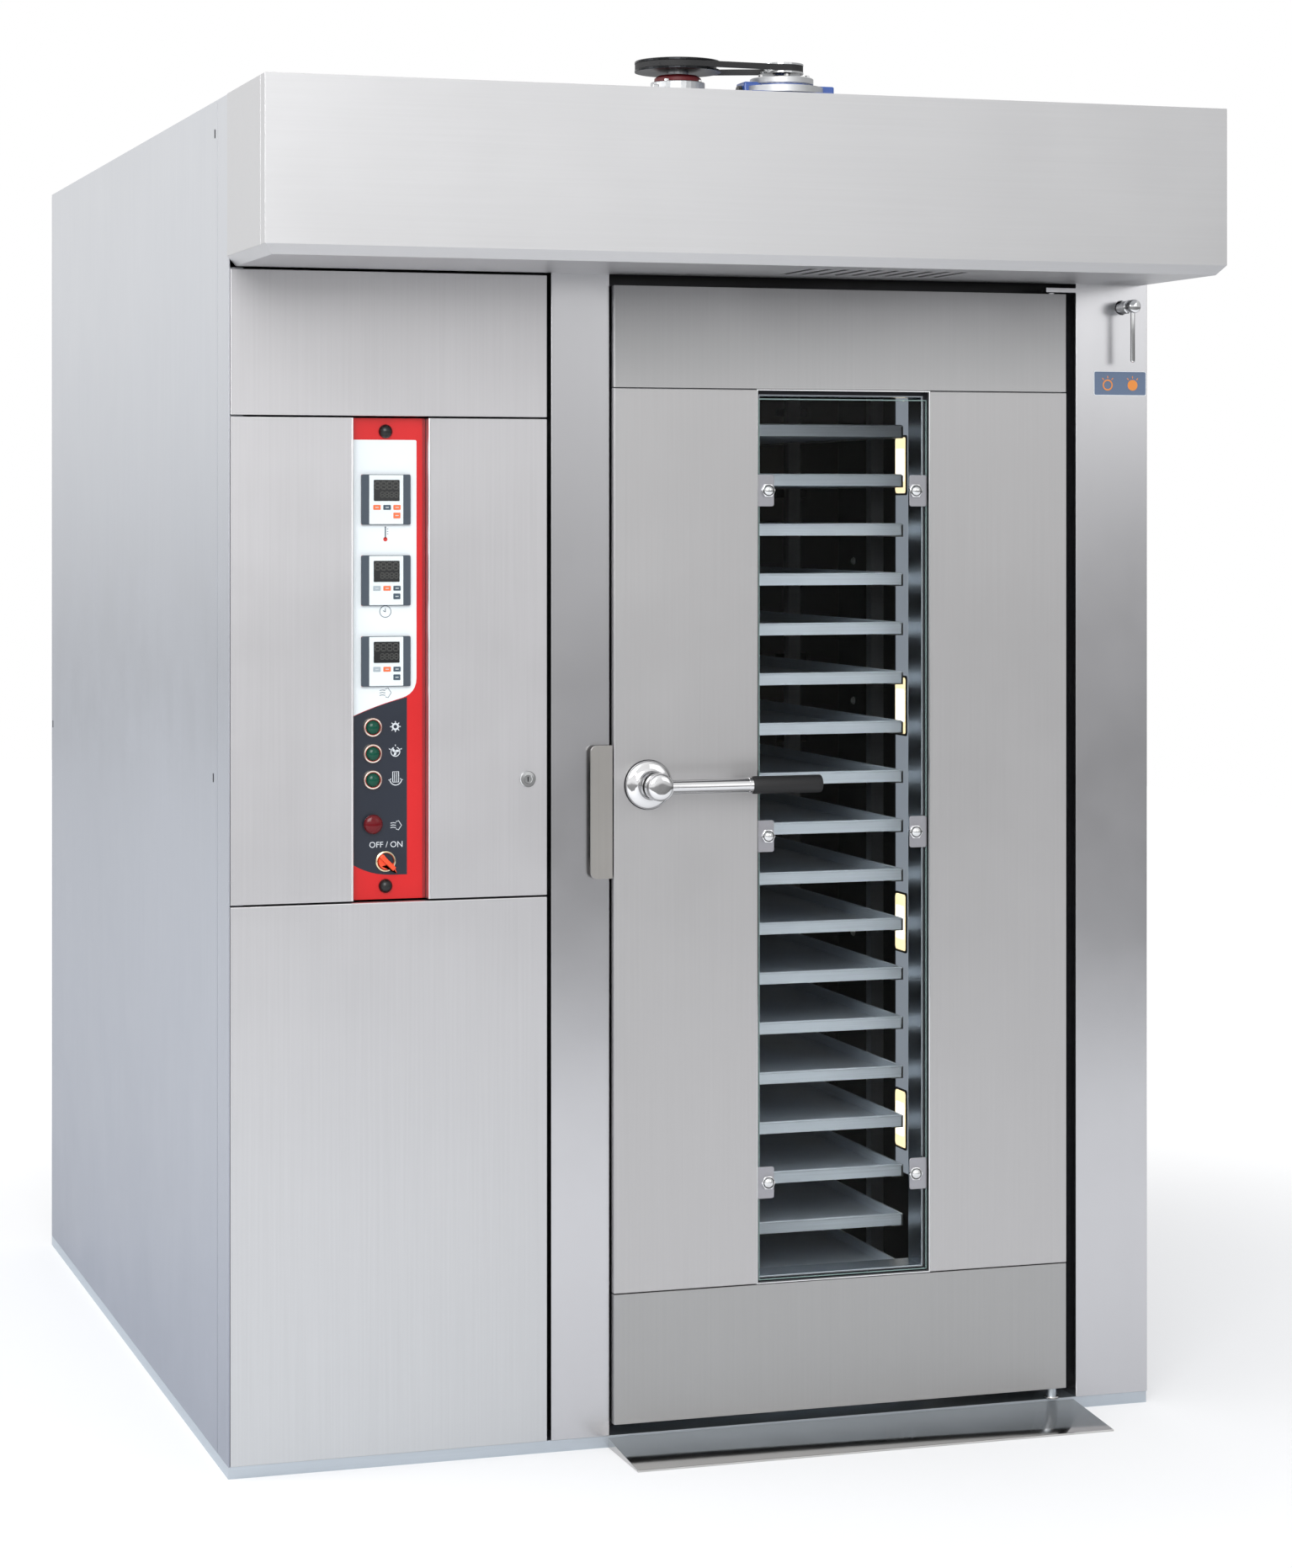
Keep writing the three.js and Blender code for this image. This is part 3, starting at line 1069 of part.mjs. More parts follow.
// Rack: base and top frames, posts, runners, castors that clear the floor, and lifting hooks.
function rackFrame() {
  const half = POST_SIZE / 2;
  const railEnd = TRAY_LENGTH / 2 - RUNNER_END_INSET;
  const wheelZ = CHAMBER_FLOOR_TOP + RACK_LIFT + CASTOR_RADIUS;
  const castorY = railEnd - CASTOR_INSET;
  const hookX = CARRIER_LENGTH / 2 + FIT;
  const lipTop = CARRIER_TOP + FIT + HOOK_THICKNESS;
  const parts = [];
  for (const side of [-1, 1]) {
    const span = (a, b) => [Math.min(side * a, side * b), Math.max(side * a, side * b)];
    const postSpan = span(POST_X - half, POST_X + half);
    for (const y of [-POST_Y, POST_Y]) {
      parts.push(box(...postSpan, y - half, y + half, RACK_BASE_HEIGHT,
        RACK_TOP_HEIGHT + POST_SIZE));
    }
    for (const z of [RACK_BASE_HEIGHT, RACK_TOP_HEIGHT]) {
      parts.push(box(...postSpan, -railEnd, railEnd, z, z + POST_SIZE));
    }
    for (const y of [-castorY, castorY]) {
      parts.push(bar("z", side * POST_X, y, wheelZ, RACK_BASE_HEIGHT + 1, CASTOR_STEM, 12));
      parts.push(bar("x", y, wheelZ, ...span(POST_X - CASTOR_WIDTH / 2, POST_X + CASTOR_WIDTH / 2),
        CASTOR_RADIUS));
    }
    for (let level = 0; level < TRAY_COUNT; level += 1) {
      const seat = TRAY_BASE + level * TRAY_PITCH - FIT;
      const floor = seat - RUNNER_THICKNESS;
      const wallEnd = RUNNER_X + RUNNER_THICKNESS + 0.5;
      const ledge = span(RUNNER_X - RUNNER_LEDGE, wallEnd);
      parts.push(box(...ledge, -railEnd, railEnd, floor, seat));
      parts.push(box(...span(RUNNER_X, wallEnd), -railEnd, railEnd, floor, seat + RUNNER_HEIGHT));
    }
    parts.push(box(...span(hookX, hookX + HOOK_THICKNESS), -HOOK_WIDTH / 2, HOOK_WIDTH / 2,
      RACK_TOP_HEIGHT, lipTop));
    parts.push(box(...span(hookX - HOOK_LIP, hookX + 1), -HOOK_WIDTH / 2, HOOK_WIDTH / 2,
      CARRIER_TOP + FIT, lipTop));
  }
  for (const y of [-POST_Y, POST_Y]) {
    for (const z of [RACK_BASE_HEIGHT, RACK_TOP_HEIGHT]) {
      parts.push(box(-POST_X, POST_X, y - half, y + half, z, z + POST_SIZE));
    }
  }
  parts.push(box(-POST_X, POST_X, -half, half, RACK_TOP_HEIGHT, RACK_TOP_HEIGHT + POST_SIZE));
  return join(...parts);
}
piece("rack_frame", rackFrame(), brushedSteel(), rotor);

// Trays: level 1 is the lowest.
const traySolid = pan(-TRAY_WIDTH / 2, TRAY_WIDTH / 2, -TRAY_LENGTH / 2, TRAY_LENGTH / 2, 0,
  TRAY_HEIGHT, "+z", TRAY_WALL);
for (let level = 0; level < TRAY_COUNT; level += 1) {
  const number = String(level + 1).padStart(2, "0");
  const tray = piece(`tray_${number}`, traySolid, aluminium(), rotor);
  tray.position.z = TRAY_BASE + level * TRAY_PITCH;
}

// Drive shaft with the carrier bar that the rack's hooks hang on.
function driveShaft() {
  return join(
    bar("z", 0, 0, CARRIER_HEIGHT, PULLEY_TOP + SHAFT_STUB, SHAFT_RADIUS, 32),
    box(-CARRIER_LENGTH / 2, CARRIER_LENGTH / 2, -CARRIER_WIDTH / 2, CARRIER_WIDTH / 2,
      CARRIER_HEIGHT, CARRIER_TOP),
  );
}
piece("drive_shaft", driveShaft(), darkSteel(), rotor);

// A grooved pulley with a bore, from its rim and shaft radii.
function pulleySolid(rim, shaft) {
  const floor = rim - GROOVE_DEPTH;
  const bore = shaft + FIT;
  const grooveTop = GROOVE_BASE + GROOVE_HEIGHT;
  return turned(
    [
      [bore, PULLEY_BASE],
      [rim, PULLEY_BASE],
      [rim, GROOVE_BASE],
      [floor, GROOVE_BASE],
      [floor, grooveTop],
      [rim, grooveTop],
      [rim, PULLEY_TOP],
      [bore, PULLEY_TOP],
      [bore, PULLEY_BASE],
    ],
    0, 0, 48,
  );
}
piece("drive_pulley", pulleySolid(PULLEY_RADIUS, SHAFT_RADIUS), blackPlastic(), rotor);

const motorPulley = piece(
  "motor_pulley",
  pulleySolid(MOTOR_PULLEY_RADIUS, MOTOR_SHAFT_RADIUS),
  aluminium(),
);
motorPulley.position.set(MOTOR_X, MOTOR_Y, 0);

// Belt: a loop round both groove floors, made of two arcs and the tangents between them.
function beltOutline(target, big, small) {
  const distance = Math.hypot(MOTOR_OFFSET_X, MOTOR_OFFSET_Y);
  const heading = Math.atan2(MOTOR_OFFSET_Y, MOTOR_OFFSET_X);
  const lean = Math.acos((big - small) / distance);
  target.absarc(RACK_X, RACK_AXIS_DEPTH, big, heading + lean, heading - lean + 2 * Math.PI);
  target.absarc(MOTOR_X, MOTOR_Y, small, heading - lean, heading + lean);
  return target;
}

function driveBelt() {
  const big = PULLEY_RADIUS - GROOVE_DEPTH + FIT;
  const small = MOTOR_PULLEY_RADIUS - GROOVE_DEPTH + FIT;
  const base = GROOVE_BASE + FIT;
  const top = base + BELT_HEIGHT;
  const outer = beltOutline(new THREE.Shape(), big + BELT_THICKNESS, small + BELT_THICKNESS);
  const inner = beltOutline(new THREE.Shape(), big, small);
  return cut(prism(outer, base, top, 24), prism(inner, base - 1, top + 1, 24));
}
piece("drive_belt", driveBelt(), blackRubber());

// Bearing housing on the roof.
function bearingHousing() {
  const base = BEARING_BASE;
  const bore = SHAFT_RADIUS + FIT;
  const top = ROOF_TOP + BEARING_HEIGHT;
  return turned(
    [
      [bore, base],
      [BEARING_FLANGE_RADIUS, base],
      [BEARING_FLANGE_RADIUS, base + BEARING_FLANGE],
      [BEARING_RADIUS, base + BEARING_FLANGE],
      [BEARING_RADIUS, top],
      [bore, top],
      [bore, base],
    ],
    RACK_X, RACK_AXIS_DEPTH,
  );
}
piece("bearing_housing", bearingHousing(), castAluminium());

// Gear motor: foot plate, gearbox with a light top flange, output shaft, and motor to the back.
function gearMotor() {
  const halfWidth = GEARBOX_WIDTH / 2;
  const halfDepth = GEARBOX_DEPTH / 2;
  const motorZ = GEARBOX_BASE + GEARBOX_HEIGHT / 2;
  return join(
    box(MOTOR_X - halfWidth - GEARBOX_FOOT_LAP, MOTOR_X + halfWidth + GEARBOX_FOOT_LAP,
      MOTOR_Y - halfDepth, MOTOR_Y + halfDepth, BEARING_BASE, GEARBOX_BASE),
    box(MOTOR_X - halfWidth, MOTOR_X + halfWidth, MOTOR_Y - halfDepth, MOTOR_Y + halfDepth,
      GEARBOX_BASE - 1, GEARBOX_TOP),
    bar("z", MOTOR_X, MOTOR_Y, GEARBOX_TOP - 1, MOTOR_FLANGE_TOP, MOTOR_FLANGE_RADIUS, 32),
    bar("z", MOTOR_X, MOTOR_Y, GEARBOX_TOP, PULLEY_TOP + SHAFT_STUB, MOTOR_SHAFT_RADIUS),
    bar("y", MOTOR_X, motorZ, MOTOR_Y, MOTOR_Y + halfDepth + MOTOR_BODY_LENGTH,
      MOTOR_BODY_RADIUS, 32),
  );
}
piece("gear_motor", gearMotor(), bluePaint());

// The part's origin is the middle of its footprint, at floor level.
oven.position.set(-CASING_WIDTH / 2, (HOOD_REACH - CASING_DEPTH) / 2, 0);
const part = new THREE.Group();
part.add(oven);

export default part;
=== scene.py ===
"""The finish of a rotating rack oven: steel casing, hood, service bay with its control plate, windowed
door, rack of trays and top drive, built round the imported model."""
import math

import bmesh
import bpy
import numpy as np
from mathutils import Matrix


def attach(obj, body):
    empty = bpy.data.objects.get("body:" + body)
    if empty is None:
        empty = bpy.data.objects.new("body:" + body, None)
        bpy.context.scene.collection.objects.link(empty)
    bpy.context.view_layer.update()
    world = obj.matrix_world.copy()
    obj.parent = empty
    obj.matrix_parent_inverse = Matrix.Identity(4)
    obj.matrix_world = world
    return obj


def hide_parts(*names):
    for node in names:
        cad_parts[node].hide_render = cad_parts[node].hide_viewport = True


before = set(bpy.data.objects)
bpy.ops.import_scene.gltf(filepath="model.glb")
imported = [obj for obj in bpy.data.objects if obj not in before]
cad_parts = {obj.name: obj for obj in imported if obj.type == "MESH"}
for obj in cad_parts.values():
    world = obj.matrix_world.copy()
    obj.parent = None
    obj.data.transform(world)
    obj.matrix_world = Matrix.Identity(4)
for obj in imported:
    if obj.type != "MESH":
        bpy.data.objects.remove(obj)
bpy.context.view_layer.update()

# ---- Camera ----
# A level camera at chest height, left of the oven's middle, with a long lens. The lens is shifted down
# instead of tilting, so upright edges stay parallel.
CAMERA_PLACE = (-1.94308, -6.51664, 1.57272)
CAMERA_HEADING = math.radians(-17.85)
CAMERA_LENS = 81.57
CAMERA_SHIFT = (0.0003, -0.17414)

camera_data = bpy.data.cameras.new("camera")
camera_data.lens = CAMERA_LENS
camera_data.sensor_width = 36
camera_data.shift_x, camera_data.shift_y = CAMERA_SHIFT
camera_data.clip_end = 100
camera = bpy.data.objects.new("camera", camera_data)
camera.location = CAMERA_PLACE
camera.rotation_euler = (math.radians(90), 0, CAMERA_HEADING)
bpy.context.scene.collection.objects.link(camera)
bpy.context.scene.camera = camera
bpy.context.scene.view_settings.view_transform = "Standard"

# ---- Floor and light ----
# A pale floor that shows only the oven's soft shadow, a bright sky with a dim band at the horizon for
# the metal to mirror, paler on the left than on the right, and three broad lamps.
FLOOR_BACK, FLOOR_FRONT, FLOOR_LEFT, FLOOR_RIGHT = 16, -5.4, -40, 7
FLOOR_SHADOW = 0.65
FLOOR_WHITE = 1.15
SHADOW_REACH = (1.5, 3.6)
FLOOR_TINT = (0.78, 0.79, 0.81, 1)
SKY = ((0.0, 0.30), (0.43, 0.30), (0.478, 0.34), (0.492, 0.72), (0.53, 0.92), (0.62, 0.84), (0.80, 1.0))
SIDEWAYS = ((0.50, 1.10), (0.62, 1.0), (0.72, 0.80), (0.85, 0.68))
LAMPS = (
    ("key_lamp", (-2.3, -6.3, 4.2), (-0.2, -0.8, 1.3), 3.4, 220),
    ("side_lamp", (-6.5, 0.6, 4.2), (-0.8, 0.8, 1.7), 3.0, 130),
    ("fill_lamp", (2.8, -5.6, 3.0), (0.4, -0.8, 1.1), 2.4, 14),
)


def node(tree, kind, settings=(), **inputs):
    """Adds one shader node. settings are its own properties, and inputs its sockets, whose names have
    _ for a space and i before a number: each is a value or another node's output."""
    made = tree.nodes.new("ShaderNode" + kind)
    for name, value in dict(settings).items():
        setattr(made, name, value)
    for name, value in inputs.items():
        number = name[1:]
        key = int(number) if name[0] == "i" and number.isdigit() else name.replace("_", " ")
        if isinstance(value, bpy.types.NodeSocket):
            tree.links.new(value, made.inputs[key])
        else:
            made.inputs[key].default_value = value
    return made


def ramp(tree, factor, stops):
    """A colour ramp through grey or coloured stops, each a place from 0 to 1 and its shade."""
    made = node(tree, "ValToRGB", Fac=factor)
    elements = made.color_ramp.elements
    while len(elements) < len(stops):
        elements.new(0.5)
    for element, (place, shade) in zip(elements, stops):
        element.position = place
        element.color = (*shade, 1) if isinstance(shade, tuple) else (shade, shade, shade, 1)
    return made.outputs["Color"]


def multiplied(tree, first, second, factor=1.0):
    """One colour multiplied by another, as far as factor goes."""
    settings = {"data_type": "RGBA", "blend_type": "MULTIPLY"}
    return node(tree, "Mix", settings, Factor=factor, i6=first, i7=second).outputs[2]


def blend(tree, factor, first, second):
    """A shader that goes from the first to the second as factor goes from 0 to 1."""
    return node(tree, "MixShader", Fac=factor, i1=first.outputs[0], i2=second.outputs[0])


def object_place(tree):
    """Where the shaded point lies in its object's own axes, in metres."""
    return node(tree, "TexCoord").outputs["Object"]


def noise(tree, place, scale, detail=2.0):
    """Soft noise from 0 to 1 about a middle of 0.5."""
    return node(tree, "TexNoise", Vector=place, Scale=scale, Detail=detail).outputs[0]


def blank_material(name):
    """A material with an empty tree."""
    material = bpy.data.materials.new(name)
    material.use_nodes = True
    material.node_tree.nodes.clear()
    return material, material.node_tree


def finished(material, shader):
    """Ends a material's tree with the shader that its surface shows."""
    node(material.node_tree, "OutputMaterial", Surface=shader.outputs[0])
    return material


def seen_directly(tree):
    """1 where a ray comes straight from the camera or through glass, and 0 elsewhere."""
    path = node(tree, "LightPath")
    return node(
        tree, "Math", {"operation": "MAXIMUM"}, i0=path.outputs["Is Camera Ray"],
        i1=path.outputs["Is Transmission Ray"],
    ).outputs[0]


floor_material, tree = blank_material("floor")
matt = node(tree, "BsdfDiffuse", Color=FLOOR_TINT)
white = node(tree, "Emission", Strength=FLOOR_WHITE)
spot = object_place(tree)
distance = node(tree, "VectorMath", {"operation": "LENGTH"}, Vector=spot).outputs["Value"]
shadowed = node(
    tree, "MapRange", {"interpolation_type": "SMOOTHSTEP"}, i0=distance, i1=SHADOW_REACH[0],
    i2=SHADOW_REACH[1], i3=FLOOR_SHADOW, i4=0.0,
)
pale = blend(tree, shadowed.outputs[0], white, matt)
finished(floor_material, blend(tree, seen_directly(tree), matt, pale))

floor_mesh = bpy.data.meshes.new("floor")
floor_corners = ((FLOOR_LEFT, FLOOR_FRONT), (FLOOR_RIGHT, FLOOR_FRONT), (FLOOR_RIGHT, FLOOR_BACK))
floor_corners += ((FLOOR_LEFT, FLOOR_BACK),)
floor_mesh.from_pydata([(x, y, 0) for x, y in floor_corners], [], [(0, 1, 2, 3)])
floor_mesh.materials.append(floor_material)
floor = bpy.data.objects.new("floor", floor_mesh)
bpy.context.scene.collection.objects.link(floor)

world = bpy.data.worlds.new("studio")
world.use_nodes = True
bpy.context.scene.world = world
tree = world.node_tree
tree.nodes.clear()
direction = node(tree, "TexCoord").outputs["Generated"]
split = node(tree, "SeparateXYZ", Vector=direction)
height = node(tree, "MapRange", i0=split.outputs["Z"], i1=-1.0, i2=1.0).outputs[0]
sideways = node(tree, "MapRange", i0=split.outputs["X"], i1=-1.0, i2=1.0).outputs[0]
paled = multiplied(tree, ramp(tree, height, SKY), ramp(tree, sideways, SIDEWAYS))
sky = node(tree, "Background", Color=paled, Strength=1.0)
backdrop = node(tree, "Background", Color=(1, 1, 1, 1), Strength=1.0)
node(tree, "OutputWorld", Surface=blend(tree, seen_directly(tree), sky, backdrop).outputs[0])

for name, place, aim, size, power in LAMPS:
    lamp = bpy.data.lights.new(name, "AREA")
    lamp.size = size
    lamp.energy = power
    holder = bpy.data.objects.new(name, lamp)
    holder.location = place
    run, side, drop = np.subtract(aim, place)[[1, 0, 2]]
    holder.rotation_euler = (
        math.pi / 2 + math.atan2(drop, math.hypot(run, side)), 0, -math.atan2(side, run),
    )
    bpy.context.scene.collection.objects.link(holder)

# ---- Casing panels ----
# Brushed stainless sheet, folded into pans and screwed to the base frame. The finish is a fine upright
# grain with broad faint clouds where the sheet has been handled.
FRONT_LEFT_FOOT = (-0.82, -0.8225, 0)
SIDE_STEEL = (0.62, 0.635, 0.665)
# Painted shade on the side panels: their colour darkens and turns bluer towards the bottom, standing for
# the dim reflection low on the side.
SIDE_PAINTED_SHADE = ((0.0, (0.50, 0.53, 0.60)), (0.5, (0.90, 0.92, 0.96)), (0.95, (1.0, 1.0, 1.0)))
BACK_STEEL = (0.52, 0.53, 0.55)
UPRIGHT_GRAIN = (260, 260, 3)
LEVEL_GRAIN = (3, 260, 260)
PANEL_EDGE = 0.8
SCREW_RADIUS = 5.5
SCREW_HEIGHT = 1.6
SCREW_COLUMNS = (22, 1618)
SCREW_ROWS = np.arange(90, 2200, 410)
CASING_DEPTH = 1945
SLOT_MARKS = ((130, 1130.6), (115.5, 2196.2), (1928, 1117.4))
SLOT_SIZE = (5, 15, 2.4)


def value_group(name, inputs, outputs):
    """An empty shader node group with typed sockets, given as names and the ends of their socket types.
    Returns it with its input and output nodes."""
    group = bpy.data.node_groups.new(name, "ShaderNodeTree")
    for names, way in ((inputs, "INPUT"), (outputs, "OUTPUT")):
        for socket, kind in names.items():
            group.interface.new_socket(socket, in_out=way, socket_type="NodeSocket" + kind)
    return group, group.nodes.new("NodeGroupInput"), group.nodes.new("NodeGroupOutput")


def mathed(tree, operation, first, second):
    """One Math node's result."""
    return node(tree, "Math", {"operation": operation}, i0=first, i1=second).outputs[0]


def swing(tree, wave, gain):
    """A noise's swing about its middle, times a gain."""
    return mathed(tree, "MULTIPLY", mathed(tree, "SUBTRACT", wave, 0.5), gain)


def scaled(tree, colour, factor):
    """A colour made brighter or darker by a factor."""
    return node(tree, "VectorMath", {"operation": "SCALE"}, i0=colour, Scale=factor).outputs[0]


def relief(tree, strength, rise):
    """A surface normal that follows a height, up to a fifth of a millimetre."""
    return node(tree, "Bump", Strength=strength, Distance=0.0002, Height=rise).outputs[0]


def give(group, result, **values):
    """Sends values out of a node group."""
    for name, value in values.items():
        group.links.new(value, result.inputs[name])


# Rolled sheet: fine grain drawn out along one direction, broad clouds, and smudges that dull the gloss.
sheet_finish, given, result = value_group(
    "sheet_finish",
    {
        "Colour": "Color", "Grain Scale": "Vector", "Grain Tone": "Float", "Cloud Tone": "Float",
        "Roughness": "Float", "Smudge": "Float", "Grain Depth": "Float",
    },
    {"Colour": "Color", "Roughness": "Float", "Normal": "Vector"},
)
place = object_place(sheet_finish)
drawn = node(sheet_finish, "Mapping", Vector=place, Scale=given.outputs["Grain Scale"]).outputs[0]
grain = noise(sheet_finish, drawn, 1.0, 4.0)
cloud = noise(sheet_finish, place, 1.1)
smear = noise(sheet_finish, place, 6.5, 5.0)
grain_tone = swing(sheet_finish, grain, given.outputs["Grain Tone"])
cloud_tone = swing(sheet_finish, cloud, given.outputs["Cloud Tone"])
tone = mathed(sheet_finish, "ADD", mathed(sheet_finish, "ADD", grain_tone, cloud_tone), 1.0)
smear_gain = swing(sheet_finish, smear, given.outputs["Smudge"])
give(
    sheet_finish, result, Colour=scaled(sheet_finish, given.outputs["Colour"], tone),
    Roughness=mathed(sheet_finish, "ADD", given.outputs["Roughness"], smear_gain),
    Normal=relief(sheet_finish, given.outputs["Grain Depth"], grain),
)


def group_in(tree, group, **inputs):
    """A node group placed in a tree, with its own values."""
    made = tree.nodes.new("ShaderNodeGroup")
    made.node_tree = group
    for name, value in inputs.items():
        made.inputs[name.replace("_", " ")].default_value = value
    return made


def coated(tree, finish, colour, **more):
    """A surface shader with a finish group's roughness and relief."""
    rough, normal = finish.outputs["Roughness"], finish.outputs["Normal"]
    return node(tree, "BsdfPrincipled", Base_Color=colour, Roughness=rough, Normal=normal, **more)


def metal(
    name, colour, roughness, grain=UPRIGHT_GRAIN, tone=0.10, cloud=0.10, smudge=0.10, depth=0.12,
    painted_light=None, painted_light_span=("Z", 0.0, 2.3), painted_reflection=None, bare=1.0,
):
    """A metal sheet or turned part, whose finish comes from the rolled sheet group. Its colour can carry
    painted light and shade, as a colour ramp along an axis between two given places, and painted
    reflections, shaded by the angle it is seen at as chrome is by the dark surroundings it mirrors. bare is
    below 1 where oxide covers the metal."""
    material, tree = blank_material(name)
    finish = group_in(
        tree, sheet_finish, Colour=(*colour, 1), Grain_Scale=grain, Grain_Tone=tone, Cloud_Tone=cloud,
        Roughness=roughness, Smudge=smudge, Grain_Depth=depth,
    )
    shade = finish.outputs["Colour"]
    if painted_light:
        axis, low, high = painted_light_span
        along = node(tree, "SeparateXYZ", Vector=object_place(tree)).outputs[axis]
        level = node(tree, "MapRange", i0=along, i1=low, i2=high).outputs[0]
        shade = multiplied(tree, shade, ramp(tree, level, painted_light))
    if painted_reflection:
        turn = node(tree, "LayerWeight", Blend=0.5).outputs["Facing"]
        shade = multiplied(tree, shade, ramp(tree, turn, painted_reflection))
    shader = coated(tree, finish, shade, Metallic=bare)
    return finished(material, shader)


def rounded(thing, edge):
    """Rounds an object's sharp edges by that many millimetres."""
    rounding = thing.modifiers.new("edge", "BEVEL")
    rounding.width = edge / 1000
    rounding.segments = 2
    rounding.limit_method = "ANGLE"
    rounding.angle_limit = math.radians(40)


def dress(names, material, edge=0.0):
    """Gives CAD nodes a material, and where edge is set, in millimetres, merges their loose triangles
    and rounds their sharp edges by that much."""
    for name in names:
        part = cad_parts[name]
        part.material_slots[0].material = material
        if edge:
            part.modifiers.new("weld", "WELD").merge_threshold = 0.00002
            rounded(part, edge)


def on_oven(points):
    """Millimetres from the casing's front left foot, as metres from the middle of the oven's base."""
    return np.asarray(points, float) / 1000 + FRONT_LEFT_FOOT


def piece(name, bodies, material, body, slot, edge=0.0, smooth=False, ring=False):
    """Makes one piece from closed bodies. A body is an array of rings x points x XYZ in millimetres: each
    ring is joined to the next by quads, and the first and last are capped, or joined where ring is set."""
    mesh = bpy.data.meshes.new(name)
    corners, faces, start = [], [], 0
    for rings in bodies:
        count, size = rings.shape[:2]
        ids = start + np.arange(count * size).reshape(count, size)
        low = ids if ring else ids[:-1]
        high = np.roll(ids, -1, 0) if ring else ids[1:]
        quads = np.stack([low, np.roll(low, -1, 1), np.roll(high, -1, 1), high], -1)
        faces += quads.reshape(-1, 4).tolist()
        if not ring:
            faces += [ids[0, ::-1].tolist(), ids[-1].tolist()]
        corners.append(rings.reshape(-1, 3))
        start += count * size
    mesh.from_pydata(on_oven(np.concatenate(corners)).tolist(), [], faces)
    shell = bmesh.new()
    shell.from_mesh(mesh)
    bmesh.ops.recalc_face_normals(shell, faces=shell.faces)
    shell.to_mesh(mesh)
    shell.free()
    mesh.materials.append(material)
    if smooth:
        mesh.shade_smooth()
        mesh.set_sharp_from_angle(angle=math.radians(38))
    made = bpy.data.objects.new(name, mesh)
    bpy.context.scene.collection.objects.link(made)
    if edge:
        rounded(made, edge)
    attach(made, body)
    return made


def across(outline, axis, place, along):
    """An outline in the plane that faces an axis: its two coordinates start at place, along by along."""
    flat = np.asarray(outline, float) + np.delete(place, axis)
    return np.insert(flat, axis, along, axis=1)


def turned(profile, axis, place, sides=40):
    """A turned body: each (radius, distance) of the profile is a circle round the axis through place,
    that far along it from place."""
    angle = np.linspace(0, 2 * np.pi, sides, endpoint=False)
    circle = np.stack([np.cos(angle), np.sin(angle)], 1)
    place = np.asarray(place, float)
    return np.stack([across(circle * r, axis, place, place[axis] + d) for r, d in profile])


def pushed(outline, axis, start, end, place=(0, 0, 0)):
    """A flat outline pushed straight along an axis, from start to end."""
    place = np.asarray(place, float)
    return np.stack([across(outline, axis, place, along) for along in (start, end)])


def oblong(width, height, corner=0.0, steps=5):
    """A rectangle about its middle whose corners are quarter circles, as an outline of points."""
    if not corner:
        return np.array([(-1, -1), (1, -1), (1, 1), (-1, 1)]) * (width / 2, height / 2)
    turn = np.linspace(0, np.pi / 2, steps)
    quarter = np.stack([np.cos(turn), np.sin(turn)], 1) * corner
    centre = np.array([width / 2 - corner, height / 2 - corner])
    spins = [np.array([[c, s], [-s, c]]) for c, s in ((1, 0), (0, 1), (-1, 0), (0, -1))]
    signs = np.array([(1, 1), (-1, 1), (-1, -1), (1, -1)])
    return np.concatenate([quarter @ spin + centre * sign for spin, sign in zip(spins, signs)])


def block(x0, x1, y0, y1, z0, z1):
    """A plain rectangular body between two corners, meant to have its edges rounded."""
    return pushed([(y0, z0), (y1, z0), (y1, z1), (y0, z1)], 0, x0, x1)


side_steel = metal("side_steel", SIDE_STEEL, 0.36, painted_light=SIDE_PAINTED_SHADE)
back_steel = metal("back_steel", BACK_STEEL, 0.42)
dress(["left_side_panel", "right_side_panel"], side_steel, PANEL_EDGE)
dress(["rear_panel", "roof_panel"], back_steel, PANEL_EDGE)
# Near black for real gaps and slots, and also used as painted shade and shadow: the band inside the window
# hole and the ring round the handle's rosette.
gap_and_shade_black = metal("gap_and_shade_black", (0.03, 0.03, 0.035), 0.6)
bright_screw = metal("bright_screw", (0.62, 0.62, 0.62), 0.25, grain=(400, 400, 400))

piece(
    "side_panel_slots", [pushed(oblong(*SLOT_SIZE), 0, -0.6, 0.4, (0, y, z)) for y, z in SLOT_MARKS],
    gap_and_shade_black, "casing", "side_steel",
)

screw_head = [(SCREW_RADIUS, 0.5), (SCREW_RADIUS, -0.6), (SCREW_RADIUS * 0.7, -SCREW_HEIGHT)]
rear_head = [(r, -d) for r, d in screw_head]
piece(
    "rear_panel_screws",
    [turned(rear_head, 1, (x, CASING_DEPTH, z), 14) for x in SCREW_COLUMNS for z in SCREW_ROWS],
    bright_screw, "casing", "chrome", smooth=True,
)

# ---- Hood ----
# A folded steel box over the service bay and the door, with a short sloped lower edge and an intake
# slotted into its underside. It carries the extraction for steam when the door opens.
HOOD_STEEL = (0.66, 0.66, 0.67)
HOOD_EDGE = 1.5
# Painted light on the hood: its colour is brighter on the left and darker towards the right, as the lamp's
# light falls off.
HOOD_PAINTED_LIGHT = ((0.0, 0.92), (0.4, 0.98), (0.75, 0.85), (1.0, 0.79))

hood_steel = metal(
    "hood_steel", HOOD_STEEL, 0.40, grain=LEVEL_GRAIN, tone=0.06, cloud=0.06, painted_light=HOOD_PAINTED_LIGHT,
    painted_light_span=("X", -0.82, 0.82),
)
dress(["hood_shell"], hood_steel, HOOD_EDGE)

# ---- Service bay panels, pillar and column ----
# Folded stainless covers left of the door, and the two upright posts of the door frame. The posts have
# a brighter roll finish than the covers and mirror the floor.
FRONT_STEEL = (0.63, 0.63, 0.645)
